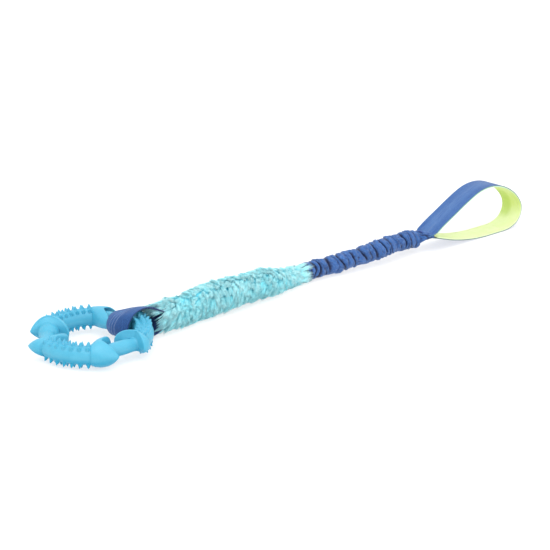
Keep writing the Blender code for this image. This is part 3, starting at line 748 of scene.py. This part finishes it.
def loop_band(name, start, thickness, half_width, columns, mat, first, last, surface, round_mm=0.9):
    """A strip along the hand loop, start mm inside its outer face. surface(along, across) gives the outer and inner height in mm over the plain faces."""
    p, inward, at = loop_outline()
    keep = (at >= first) & (at <= at[-1] - last)
    p, inward, at = p[keep], inward[keep], at[keep]
    across1 = np.linspace(-half_width, half_width, columns)
    along, across = np.meshgrid(at, across1, indexing="ij")
    mid = p + inward * (start + thickness / 2)
    gathered = 1.0 - 0.3 * (1 - smooth((mid[:, :1] - 464.6) / 11.0))
    middle = np.stack(
        [
            np.broadcast_to(mid[:, :1], along.shape),
            across * gathered,
            np.broadcast_to(mid[:, 1:], along.shape),
        ],
        -1,
    )
    out = np.stack([-inward[:, 0], np.zeros(len(at)), -inward[:, 1]], 1)
    normal = np.broadcast_to(out[:, None, :], middle.shape)
    over, under = surface(along, across)
    half = thickness / 2 * edge_round(across, half_width, round_mm)
    ends = smooth((along - first) / 4.0 + 0.15) * smooth((at[-1] - along) / 4.0 + 0.15)
    obj = strip(name, place(middle), normal, (half + over) * ends * MM, (half + under) * ends * MM, along, across, mat)
    co = np.array([v.co for v in obj.data.vertices])
    co[:, 2] = np.maximum(co[:, 2], 0.00003)
    obj.data.vertices.foreach_set("co", co.astype(np.float32).ravel())
    obj.data.update()
    return obj, float(at[-1] - at[0])


def flexing(obj):
    """Bakes the object's transform into its mesh."""
    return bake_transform(obj)


def make_handle():
    def web_surface(along, across):
        edge = edge_round(across, 15.0, 0.9)
        rib = 0.075 * np.cos(2 * PI * across / 1.2) * edge
        weft = 0.03 * np.cos(2 * PI * along / 1.0 + PI * np.round(across / 1.2)) * edge
        near_neck = 1 - smooth(along / 34.0)
        pucker = 0.26 * near_neck * waves(31, 12, 4.0, 11.0, along * 0.3 + across * 0.25, across)
        groove = -0.12 * np.exp(-(((np.abs(across) - 11.9) / 0.5) ** 2)) * edge
        return rib + weft + pucker + groove - 0.08, rib * 0.5 - pucker - 0.05

    web, length = loop_band(
        "hand_loop_webbing", 0.0, 0.62, 15.0, 127, HANDLE_CLOTH, 0.0, 0.0, web_surface, round_mm=0.6
    )
    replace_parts(flexing(web), "handle_webbing")

    def soft_surface(along, across):
        stitch = np.exp(-(((np.abs(across) - 11.9) / 0.9) ** 2))
        dimple = 0.5 + 0.5 * np.cos(2 * PI * along / 3.4)
        puff = 0.22 * waves(41, 16, 10.0, 34.0, along, across) * np.exp(-((across / 12.5) ** 6))
        inner = (-0.2 * stitch * (0.6 + 0.4 * dimple) + puff) * 0.9
        return np.zeros_like(along) - 0.06, inner * edge_round(across, 15.25, 1.4)

    lining, lining_long = loop_band(
        "hand_loop_lining", 0.7, 1.46, 15.25, 97, LINING, 9.0, 8.5, soft_surface, round_mm=1.4
    )
    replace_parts(flexing(lining), "handle_lining")

    # two lines of lock stitches along the lining's edges
    p, inward, at = loop_outline()
    for name, side, node in (("handle_stitches_near", -1, "handle_seam_near"), ("handle_stitches_far", 1, "handle_seam_far")):
        paths = []
        for a in np.arange(20.0, at[-1] - 22.0, 3.4):
            pts = []
            for t in np.linspace(0, 1, 7):
                q = a + 2.5 * t
                x = np.interp(q, at, p[:, 0])
                z = np.interp(q, at, p[:, 1])
                nx, nz = np.interp(q, at, inward[:, 0]), np.interp(q, at, inward[:, 1])
                deep = 1.98 + 0.24 * math.sin(PI * t) ** 0.6
                pts.append((x + nx * deep, side * 11.9 + 0.12 * math.sin(a), z + nz * deep))
            paths.append(np.array(pts))
        obj = threads(name, paths, 0.19, MINT_THREAD)
        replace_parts(flexing(obj), node)


def threads(name, paths, radius, mat, sides=6):
    """Thread tubes along paths of points in mm, as one object of closed tubes."""
    verts, quads, tris = [], [], []
    base = 0
    for path in paths:
        d = unit(np.gradient(path, axis=0))
        ref = np.array([0.13, 0.21, 0.97])
        side = unit(np.cross(d, ref))
        other = np.cross(side, d)
        n = len(path)
        taper = np.ones(n)
        taper[0] = taper[-1] = 0.45
        a = np.linspace(0, 2 * PI, sides, endpoint=False)
        ring = (
            path[:, None, :]
            + radius * taper[:, None, None] * (np.cos(a)[None, :, None] * side[:, None, :] + np.sin(a)[None, :, None] * other[:, None, :])
        )
        verts.append(ring.reshape(-1, 3))
        quads.append(grid_faces(n, sides, False, True, start=base))
        centre = base + n * sides
        verts.append(path[[0, -1]])
        k = np.arange(sides)
        tris.append(np.stack([k + base, (k + 1) % sides + base, np.full(sides, centre)], -1))
        last = base + (n - 1) * sides
        tris.append(np.stack([(k + 1) % sides + last, k + last, np.full(sides, centre + 1)], -1))
        base += n * sides + 2
    return make_mesh(name, place(np.concatenate(verts)), [np.concatenate(quads), np.concatenate(tris)], mat)


def zigzag(name, node, body, centre, size, mat, turn=0.0, rows=3, radius=0.22):
    """Dense zigzag stitching in a block of size (x, y, z) mm round centre, tipped by turn degrees about Y."""
    c, s = math.cos(math.radians(turn)), math.sin(math.radians(turn))
    paths = []
    for face in (1, -1):
        count = max(4, int(size[1] / 0.75))
        pts = []
        for k in range(count * 4 + 1):
            t = k / (count * 4)
            y = (t - 0.5) * (size[1] - 0.6)
            x = (abs((k % 4) - 2) - 1) * (size[0] / 2 - 0.3)
            z = face * (size[2] / 2 - radius * 0.9)
            pts.append((centre[0] + c * x + s * z, centre[1] + y, centre[2] - s * x + c * z))
        paths.append(np.array(pts))
    for side in (-1, 1):
        pts = []
        for t in np.linspace(0, 1, 5):
            z = (t - 0.5) * (size[2] - 2 * radius)
            y = side * (size[1] / 2 - 0.35)
            pts.append((centre[0] + s * z, centre[1] + y, centre[2] + c * z))
        paths.append(np.array(pts))
    obj = threads(name, paths, radius, mat, 6)
    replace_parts(flexing(obj) if body == "handle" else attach(obj, body), node)
    return obj


# ---------------------------------------------------------------- the long line
LINE_Y = [
    (74.0, -8.0), (84.0, -8.0), (104.0, -3.5), (135.0, 0.0), (180.0, 0.5), (225.0, 2.0),
    (260.0, 6.0), (283.0, 9.6), (302.0, 10.6), (345.0, 5.0), (397.0, 1.2), (430.0, 4.0),
    (454.0, 6.5), (472.0, 1.0),
]
FUR_W = [(74.0, 13.0), (80.0, 15.2), (94.0, 17.0), (130.0, 17.8), (169.0, 18.4), (228.0, 16.2), (261.0, 13.6), (280.0, 12.4)]
FUR_H = [(74.0, 13.0), (80.0, 15.2), (94.0, 16.2), (130.0, 17.2), (169.0, 17.6), (228.0, 15.6), (261.0, 13.0), (280.0, 12.0)]


# How the pile differs from the plain envelope along its length: radius and height
FUR_MORE = [
    (74.0, -3.0), (84.0, -2.2), (96.0, -0.8), (115.0, -1.6), (140.0, -0.7), (165.0, -1.0), (182.0, -1.8),
    (205.0, -2.2), (218.0, -1.0), (228.0, -0.2), (242.0, -1.4), (262.0, -1.6), (280.0, -1.2),
]
FUR_SHIFT = [
    (74.0, 2.6), (86.0, 1.8), (97.0, -0.4), (115.0, -1.4), (135.0, -0.6), (180.0, 0.2), (222.0, 0.9),
    (242.0, -0.8), (270.0, -1.4), (290.0, -1.4),
]


def sleeve_point(x, angle, r):
    """A point round the sleeve's line: x along, angle round from +Y over the top, r mm out."""
    y = spline(LINE_Y, x)
    z = spline(FUR_H, x) + spline(FUR_SHIFT, x)
    return np.stack([x, y + r * np.cos(angle), z + r * np.sin(angle)], -1)


def make_fur():
    # the backing cloth, a thin closed tube
    n, m = 110, 72
    x = np.linspace(81.0, 277.0, n)
    angle = np.linspace(0, 2 * PI, m, endpoint=False)
    gx, ga = np.meshgrid(x, angle, indexing="ij")

    def envelope(x):
        return spline(FUR_W, x) + spline(FUR_MORE, x)

    def back_radius(x):
        return 0.79 * envelope(x)

    out = sleeve_point(gx, ga, back_radius(gx))
    inn = sleeve_point(gx, ga, back_radius(gx) - 0.9)
    verts = np.concatenate([out.reshape(-1, 3), inn.reshape(-1, 3)])
    k = n * m
    faces = [grid_faces(n, m, False, True), grid_faces(n, m, False, True, start=k, flip=True)]
    j = np.arange(m)
    j2 = (j + 1) % m
    faces.append(np.stack([j, j + k, j2 + k, j2], -1))
    e = (n - 1) * m
    faces.append(np.stack([j + e, j2 + e, j2 + e + k, j + e + k], -1))
    back = make_mesh("plush_backing", place(verts), faces, BACKING)
    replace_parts(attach(back, "plush"), "plush_sleeve")

    # tufts on a jittered grid round the sleeve, each with its own lie, height and tone
    rng = np.random.default_rng(7)
    cols, around = 48, 19
    ci, cj = np.meshgrid(np.arange(cols), np.arange(around), indexing="ij")
    tuft_x = (79.5 + 198.0 * (ci + 0.5 * (cj % 2) + rng.uniform(-0.48, 0.48, ci.shape)) / cols).ravel()
    tuft_a = (2 * PI * (cj + rng.uniform(-0.46, 0.46, ci.shape)) / around).ravel()
    tufts = len(tuft_x)
    ty, tz = 15 * np.cos(tuft_a), 15 * np.sin(tuft_a)
    flow_x = waves(201, 12, 22.0, 70.0, tuft_x, ty, tz)
    flow_a = waves(202, 12, 18.0, 60.0, tuft_x, ty, tz)
    part = smooth((waves(203, 9, 24.0, 60.0, tuft_x, ty, tz) - 0.35) / 0.7)
    mouth = 1 - smooth((tuft_x - 80.0) / 20.0)
    rear = smooth((tuft_x - 264.0) / 14.0)
    far_top = smooth((np.cos(tuft_a) + 0.75) / 1.2)
    lean_x = -5.8 + 8.2 * smooth((tuft_x - 212.0) / 52.0) + 2.8 * flow_x + rng.normal(0, 1.6, tufts) - mouth * (8.0 + 15.0 * far_top) + rear * rng.uniform(12.0, 27.0, tufts)
    lean_x = np.where(mouth > 0.5, np.minimum(lean_x, -3.0), lean_x)
    lean_a = (-4.6 * np.cos(tuft_a) + 4.0 * flow_a + rng.normal(0, 2.0, tufts)) * (1 - 0.75 * rear)
    # no tuft stands straight up
    lean = np.hypot(lean_x, lean_a)
    more = np.maximum(4.6 / np.maximum(lean, 0.5), 1.0)
    lean_x, lean_a = lean_x * more, lean_a * more
    excess = 0.9 + rng.normal(0, 1.1, tufts) - 2.4 * part - 1.2 * mouth - 2.6 * rear
    excess = np.clip(excess, -5.5, 3.2) + 4.5 * mouth * far_top * smooth(np.sin(tuft_a) * 1.4)
    tone = np.clip(0.58 + rng.normal(0, 0.15, tufts) - 0.42 * part + 0.35 * smooth((tuft_x - 225.0) / 40.0) + 0.2 * rear + 0.12 * mouth, 0, 1.0)
    for layer, name in enumerate(
        ("fur_undercoat", "fur_topcoat_a", "fur_topcoat_b", "fur_topcoat_c", "fur_topcoat_d")
    ):
        rng = np.random.default_rng(20 + layer)
        count = 12000
        x0 = rng.uniform(78.6, 278.6, count)
        a0 = rng.uniform(0, 2 * PI, count)
        own = np.zeros(count, int)
        for first in range(0, count, 2000):
            part_of = slice(first, first + 2000)
            dx = x0[part_of, None] - tuft_x[None, :]
            da = (a0[part_of, None] - tuft_a[None, :] + PI) % (2 * PI) - PI
            own[part_of] = np.argmin(dx**2 + (15.0 * da) ** 2 + rng.uniform(0, 7.0, dx.shape), axis=1)
        off_x = x0 - tuft_x[own]
        off_a = (a0 - tuft_a[own] + PI) % (2 * PI) - PI
        stray = rng.random(count) < 0.12
        pull = np.where(stray, 0.1, 0.3 if layer == 0 else 0.58) * rng.uniform(0.7, 1.2, count)
        share = rng.uniform(0.6, 1.04, count) * np.where(stray, 1.06, 1.0)
        r0 = back_radius(x0) - 0.4
        tip_r = envelope(x0) + excess[own]
        if layer == 0:
            tip_r = tip_r - 2.6
        rise = np.maximum(tip_r - r0, 1.2) * share
        go_x = (lean_x[own] + rng.normal(0, 1.3, count)) * share
        go_a = (lean_a[own] + rng.normal(0, 1.4, count)) * share
        hang = rng.uniform(0.7, 1.7, count)
        steps = 4
        pts = []
        for q in range(steps):
            t = q / (steps - 1)
            bend = t**1.3
            x = x0 - off_x * pull * t**1.15 + go_x * bend
            a = a0 - off_a * pull * t**1.15 + go_a * bend / 16.0
            r = r0 + rise * (1 - (1 - t) ** 1.6)
            # past the sleeve's rear end the pile lies down on the gathers
            r = r - np.maximum(r - 10.9, 0.0) * 0.75 * smooth((x - 280.0) / 14.0)
            r = np.maximum(r, (10.5 + 0.5 * rng.random(count)) * smooth((x - 280.0) / 6.0))
            p = sleeve_point(np.clip(x, 52.0, 303.0), a, r)
            p[:, 2] = np.maximum(p[:, 2] - hang * t * t, 0.25)
            pts.append(p)
        pts = np.stack(pts, 1)
        d = unit(np.gradient(pts, axis=1))
        out = unit(pts[:, :1, :] - sleeve_point(x0, a0, np.zeros(count))[:, None, :])
        side = unit(np.cross(d, out))
        face = np.cross(side, d)
        wide_at = np.array([1.0, 1.0, 0.78, 0.0])
        w = (0.34 if layer == 0 else 0.27) * rng.uniform(0.7, 1.35, count) * (1 - 0.3 * rear[own])
        verts = []
        for q in range(steps - 1):
            for c, h in ((1.0, -0.25), (-1.0, -0.25), (0.0, 0.5)):
                verts.append(
                    pts[:, q]
                    + side[:, q] * (c * w * wide_at[q])[:, None]
                    + face[:, q] * (h * w * wide_at[q])[:, None]
                )
        verts.append(pts[:, -1])
        verts = np.stack(verts, 1)  # (count, 10, 3)
        per = verts.shape[1]
        base = np.arange(count)[:, None] * per
        quads, tris = [], []
        for q in range(steps - 2):
            for c in range(3):
                c2 = (c + 1) % 3
                quads.append(base + np.array([[q * 3 + c, q * 3 + c2, q * 3 + 3 + c2, q * 3 + 3 + c]]))
        for c in range(3):
            c2 = (c + 1) % 3
            tris.append(base + np.array([[6 + c, 6 + c2, 9]]))
        tris.append(base + np.array([[0, 2, 1]]))
        quads, tris = np.concatenate(quads), np.concatenate(tris)
        tips = np.repeat(np.array([0, 0, 0, 1 / 3, 1 / 3, 1 / 3, 2 / 3, 2 / 3, 2 / 3, 1.0])[None, :], count, 0)
        if layer == 0:
            tips = tips * 0.7
        shade = tone[own] + rng.normal(0, 0.1, count)
        # painted light: paler on top, where the light falls
        height = (pts[:, -1, 2] - 6.0) / 28.0
        shade = np.clip(shade * 0.8 + 0.26 * smooth(height), 0, 1)
        wide_uv = np.array([-0.004, 0.004, 0, -0.004, 0.004, 0, -0.004, 0.004, 0, 0])[None, :]
        map_uv = np.stack([0.02 + 0.95 * shade[:, None] + wide_uv, 0.02 + 0.96 * tips], -1)
        obj = make_mesh(
            name,
            place(verts.reshape(-1, 3)),
            [quads, tris],
            FUR,
            values={"tip": tips, "lock": np.repeat(shade[:, None], per, 1)},
            tidy=False,
            map_uv=map_uv.reshape(-1, 2),
        )
        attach(obj, "plush")
    return back


BUNGEE_Z = [(283.5, 10.6), (320.0, 11.6), (345.0, 13.2), (382.0, 15.6), (415.0, 17.2), (438.0, 16.0), (461.0, 14.4)]
# How much fuller the gathers are than the plain tube, along its length
BUNGEE_MORE = [
    (283.5, -0.2), (297.0, 0.3), (307.0, 1.5), (316.0, 0.2), (327.0, 0.9), (345.0, 0.7), (362.0, 0.2), (374.0, 0.9),
    (384.0, 1.1), (391.0, 2.1), (400.0, 1.2), (410.0, 1.2), (420.0, 0.4), (429.0, 0.5), (438.0, 1.8), (447.0, 1.5),
    (456.0, 0.9), (462.0, 0.0),
]


# Creases of the gathers: where along the line, and how deep in mm
CREASES = [
    (283.5, 0.0), (288.0, 1.5), (293.2, 1.6), (298.6, 1.6), (304.8, 1.8), (312.0, 0.5), (320.0, 2.7), (329.0, 0.3),
    (338.0, 1.7), (345.0, 0.5), (352.0, 1.6), (359.5, 0.4), (366.5, 2.7), (377.0, 0.5), (386.5, 1.9), (393.0, 0.6),
    (399.5, 1.9), (404.8, 0.9), (410.5, 2.8), (418.0, 0.3), (426.0, 0.5), (434.5, 2.3), (440.5, 1.0), (447.0, 1.9),
    (453.5, 1.0), (461.2, 0.5),
]


def make_bungee():
    """The gathered tube: puffs between creases that run askew, as one closed thin wall."""
    rng = np.random.default_rng(11)
    puffs = len(CREASES) - 1
    samples, around = 18, 150
    angle = np.linspace(0, 2 * PI, around, endpoint=False)
    rows_x, rows_r, rows_h, rows_u = [], [], [], []
    u_at = 0.0
    cy, cz = 10 * np.cos(angle), 10 * np.sin(angle)
    room = [smooth((c - 284.0) / 16.0) * smooth((460.0 - c) / 10.0) for c, _ in CREASES]
    line = [
        c - (0.3 + 3.0 * room[k] * rng.uniform(-0.3, 1.7)) * np.sin(angle - 0.25)
        + 2.0 * room[k] * waves(60 + k, 5, 16.0, 44.0, cy, cz)
        for k, (c, _) in enumerate(CREASES)
    ]
    for k in range(1, len(line)):
        line[k] = np.maximum(line[k], line[k - 1] + 1.5)
    for k in range(puffs):
        width = CREASES[k + 1][0] - CREASES[k][0]
        # each crease's floor, deeper on one side of the tube than on the other
        floor_a, floor_b = (
            9.9 - (0.55 + 1.5 * CREASES[c][1]) * np.clip(1.0 + 0.8 * waves(180 + c, 5, 16.0, 40.0, cy, cz), 0.15, 1.6)
            for c in (k, k + 1)
        )
        big = 9.0 + 0.09 * width + rng.uniform(-0.25, 0.4)
        swell = 0.45 * waves(80 + k, 6, 14.0, 40.0, cy, cz)
        last = k == puffs - 1
        for q in range(samples + (1 if last else 0)):
            t = (1 - math.cos(PI * q / samples)) / 2
            x = line[k] + (line[k + 1] - line[k]) * t
            low = np.minimum(floor_a + (floor_b - floor_a) * smooth(t), big - 0.1)
            hump = math.sin(PI * t) ** 0.62 if 0 < t < 1 else 0.0
            r = low + (big + swell - low) * hump
            rows_x.append(x)
            rows_r.append(r)
            # painted shade mask: darkest at each crease, more for deeper creases
            rows_h.append((1 - hump) ** 1.1 * np.clip((big - low) / 2.5, 0.05, 1.3))
            rows_u.append(np.full(around, u_at + t * width * 1.7))
        u_at += width * 1.7
    x, r = np.array(rows_x), np.array(rows_r)
    hollow, u = np.array(rows_h), np.array(rows_u)
    ends = smooth((x - 283.0) / 5.0) * smooth((463.0 - x) / 6.0)
    # small wrinkles along and askew
    ga = np.broadcast_to(angle, x.shape)
    gy, gz = 10 * np.cos(ga), 10 * np.sin(ga)
    along_folds = waves(91, 20, 3.6, 9.0, u * 0.42, gy, gz)
    ridges = np.abs(waves(93, 16, 4.0, 12.0, u * 0.8, gy * 0.8, gz * 0.8))
    fine = waves(92, 24, 1.6, 3.6, u, gy, gz)
    # folds that cross the puffs askew
    askew = np.sin(1.15 * u + 2.6 * ga + 2.2 * waves(95, 8, 12.0, 30.0, u, gy, gz))
    askew = np.clip(waves(96, 8, 10.0, 26.0, u, gy, gz) + 0.1, 0, 1) * np.abs(askew) ** 1.5
    bumps = 0.34 * along_folds - 0.46 * (0.5 - ridges) + 0.2 * fine - 0.95 * askew
    r = r + spline(BUNGEE_MORE, x) + ends * bumps * (0.45 + 0.55 * (1 - np.clip(hollow, 0, 1)))
    r = np.clip(r, 5.9, 12.6)
    start = 5.6 + (r - 5.6) * smooth((x - 283.2) / 4.5)
    r = np.minimum(start, 6.6 + (r - 6.6) * smooth((462.6 - x) / 4.0))
    # the first gathers are pulled tight, so more of them lies in shade
    tight = 1 + 0.5 * (1 - smooth((x - 300.0) / 18.0))
    # painted shade also in the askew folds, the ridge valleys and the folds along the cloth
    hollow = np.clip(hollow * tight + 0.3 * askew**2 + 0.35 * smooth((0.15 - ridges) / 0.15) + 0.25 * smooth((-along_folds - 0.4) / 1.0), 0, 1)
    y, z = spline(LINE_Y, x), spline(BUNGEE_Z, x)

    def wall(r):
        p = np.stack([x, y + r * np.cos(ga), z + r * np.sin(ga)], -1)
        p[..., 2] = np.maximum(p[..., 2], 0.1)
        return p

    outer, inner = wall(r), wall(r - 0.45)
    inner[..., 2] = np.maximum(inner[..., 2], 0.4)
    n, m = x.shape
    k = n * m
    j = np.arange(m)
    j2 = (j + 1) % m
    e = (n - 1) * m
    faces = [
        grid_faces(n, m, False, True),
        grid_faces(n, m, False, True, start=k, flip=True),
        np.stack([j, j + k, j2 + k, j2], -1),
        np.stack([j + e, j2 + e, j2 + e + k, j + e + k], -1),
    ]
    cloth = np.stack([u, ga * 10.0, np.zeros_like(u)], -1).reshape(-1, 3)
    obj = make_mesh(
        "bungee_gathered_tube",
        place(np.concatenate([outer.reshape(-1, 3), inner.reshape(-1, 3)])),
        faces,
        NYLON,
        # painted shade: hollow is 1 on the whole inner wall, painting it fully dark
        values={"hollow": np.concatenate([hollow.ravel(), np.ones(k)])},
        vectors={"cloth": np.concatenate([cloth, cloth])},
    )
    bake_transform(obj)
    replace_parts(obj, "bungee_sleeve")
    return obj


def make_neck():
    """The tube's end, gathered flat and folded round the start of the hand loop's webbing."""
    n, m = 64, 168
    t = np.linspace(0, 1, n)[:, None]
    angle = np.linspace(0, 2 * PI, m, endpoint=False)[None, :]
    near = (1 - np.cos(angle)) / 2
    end = 469.6 + 3.6 * near + 0.5 * np.sin(5 * angle) + 1.0 * np.clip(-np.sin(angle), 0, 1)
    x = 459.4 + (end - 459.4) * t
    open_up = smooth((x - 460.6) / 10.0)
    wide = 7.4 + 6.1 * open_up
    z = 14.4 + 4.6 * smooth((x - 459.4) / 12.0)
    high = 7.2 - 4.0 * smooth((x - 459.6) / 9.0)
    # round where the tube ends, flatter round the webbing
    c, s = np.cos(angle), np.sin(angle)
    cw = np.sign(c) * np.abs(c) ** (1.0 - 0.35 * open_up)
    sw = np.sign(s) * np.abs(s) ** (1.0 - 0.25 * open_up)
    across = 12.0 * c
    folds = 0.5 * np.sin(0.62 * across * 2 + 0.75 * (x - 460) + 0.8 * np.sin(2 * angle)) + 0.28 * np.sin(19 * angle - 0.6 * (x - 460))
    folds = folds * (0.35 + 0.65 * np.sin(PI * np.clip(t * 1.05, 0, 1))) * (1 + 0.4 * s)
    body = 1 + 0.05 * waves(120, 8, 6.0, 16.0, x, 10 * c + 0 * x, 10 * s + 0 * x)
    # one deep slanting crease where the gathers turn under the webbing
    groove = np.exp(-(((x - 464.6 + 0.16 * across) / 0.8) ** 2))
    r_w = wide * body + folds * 0.5 - 0.6 * groove
    r_h = high * body + folds * 0.7 - 0.9 * groove
    y = spline(LINE_Y, np.minimum(x, 472.0)) * (1 - 0.55 * smooth((x - 459.0) / 12.0))
    p = np.stack([x + 1.2 * s * (1 - t), y + r_w * cw, z + r_h * sw], -1)
    k = n * m
    inner = np.stack([x, y + (r_w - 0.7) * cw, z + (r_h - 0.6) * sw], -1)
    j = np.arange(m)
    j2 = (j + 1) % m
    e = (n - 1) * m
    faces = [
        grid_faces(n, m, False, True),
        grid_faces(n, m, False, True, start=k, flip=True),
        np.stack([j, j + k, j2 + k, j2], -1),
        np.stack([j + e, j2 + e, j2 + e + k, j + e + k], -1),
    ]
    # painted shade mask: in the folds' troughs and the slanting crease
    hollow = np.clip(-folds * 1.2 + groove, 0, 1)
    cloth = np.stack([x * 1.6, angle * 9.0 + 0 * x, 0 * x], -1).reshape(-1, 3)
    obj = make_mesh(
        "neck_gather",
        place(np.concatenate([p.reshape(-1, 3), inner.reshape(-1, 3)])),
        faces,
        NYLON,
        # painted shade: hollow is 1 on the whole inner wall, painting it fully dark
        values={"hollow": np.concatenate([hollow.ravel(), np.ones(k)])},
        vectors={"cloth": np.concatenate([cloth, cloth])},
    )
    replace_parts(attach(obj, "neck"), "neck_wrap")
    return obj


# ---------------------------------------------------------------- build
make_ring()
make_strap()
make_fur()
make_bungee()
make_neck()
make_handle()
zigzag("strap_stitching", "strap_bartack", "strap", (80.4, -8.0, 17.2), (2.6, 13.0, 1.4), BLUE_THREAD)
zigzag("core_stitching_rear", "rear_core_stitch", "neck", (466.6, 3.2, 22.2), (2.2, 8.0, 0.8), BLUE_THREAD, -12.0)
zigzag("hand_loop_stitching", "handle_bartack", "handle", (478.4, 0.0, 19.4), (2.6, 20.0, 1.0), BLUE_THREAD)
for node, mat in (
    ("lead_webbing", LEAD_CLOTH),
    ("bungee_core", ELASTIC),
    ("front_core_stitch", BLUE_THREAD),
    ("front_sleeve_stitch", AQUA_THREAD),
    ("rear_sleeve_stitch", AQUA_THREAD),
):
    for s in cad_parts[node].material_slots:
        s.material = mat


# ---------------------------------------------------------------- floor, world and lights
def make_floor():
    n = Nodes("pale_floor")
    where = n.node("ShaderNodeTexCoord", out="Object")
    n.set(Base_Color=n.mix(n.noise(where, 3.0), (0.93, 0.93, 0.93), (0.95, 0.95, 0.95)), Roughness=0.9)
    n.shader.inputs["Specular IOR Level"].default_value = 0.0
    out = n.tree.nodes["Material Output"]
    clear = n.tree.nodes.new("ShaderNodeBsdfTransparent")
    both = n.tree.nodes.new("ShaderNodeMixShader")
    both.inputs[0].default_value = 0.42
    n.tree.links.new(clear.outputs[0], both.inputs[1])
    n.tree.links.new(n.shader.outputs[0], both.inputs[2])
    n.tree.links.new(both.outputs[0], out.inputs[0])
    bm = bmesh.new()
    bmesh.ops.create_grid(bm, x_segments=4, y_segments=4, size=12.0)
    mesh = bpy.data.meshes.new("floor")
    bm.to_mesh(mesh)
    bm.free()
    mesh.materials.append(n.mat)
    obj = bpy.data.objects.new("floor", mesh)
    obj.location = (0, 0, -0.0002)
    bpy.context.scene.collection.objects.link(obj)


def soft_light(name, where, towards, size, power, colour=(1, 1, 1)):
    data = bpy.data.lights.new(name, "AREA")
    data.shape = "DISK"
    data.size = size
    data.energy = power
    data.color = colour
    obj = bpy.data.objects.new(name, data)
    obj.location = where
    aim = Vector(towards) - Vector(where)
    obj.rotation_mode = "QUATERNION"
    obj.rotation_quaternion = aim.to_track_quat("-Z", "Y")
    bpy.context.scene.collection.objects.link(obj)


make_floor()
world = bpy.data.worlds.new("studio")
world.use_nodes = True
world.node_tree.nodes["Background"].inputs[0].default_value = (1, 1, 1, 1)
world.node_tree.nodes["Background"].inputs[1].default_value = 1.14
bpy.context.scene.world = world
soft_light("key", (-0.7, -0.25, 1.8), (-0.05, 0.0, 0.0), 1.9, 16.0)
soft_light("fill", (-0.2, -1.8, 1.1), (0.05, 0.0, 0.0), 1.6, 6.5)
bpy.context.scene.view_settings.view_transform = "Standard"
bpy.context.scene.view_settings.look = "None"
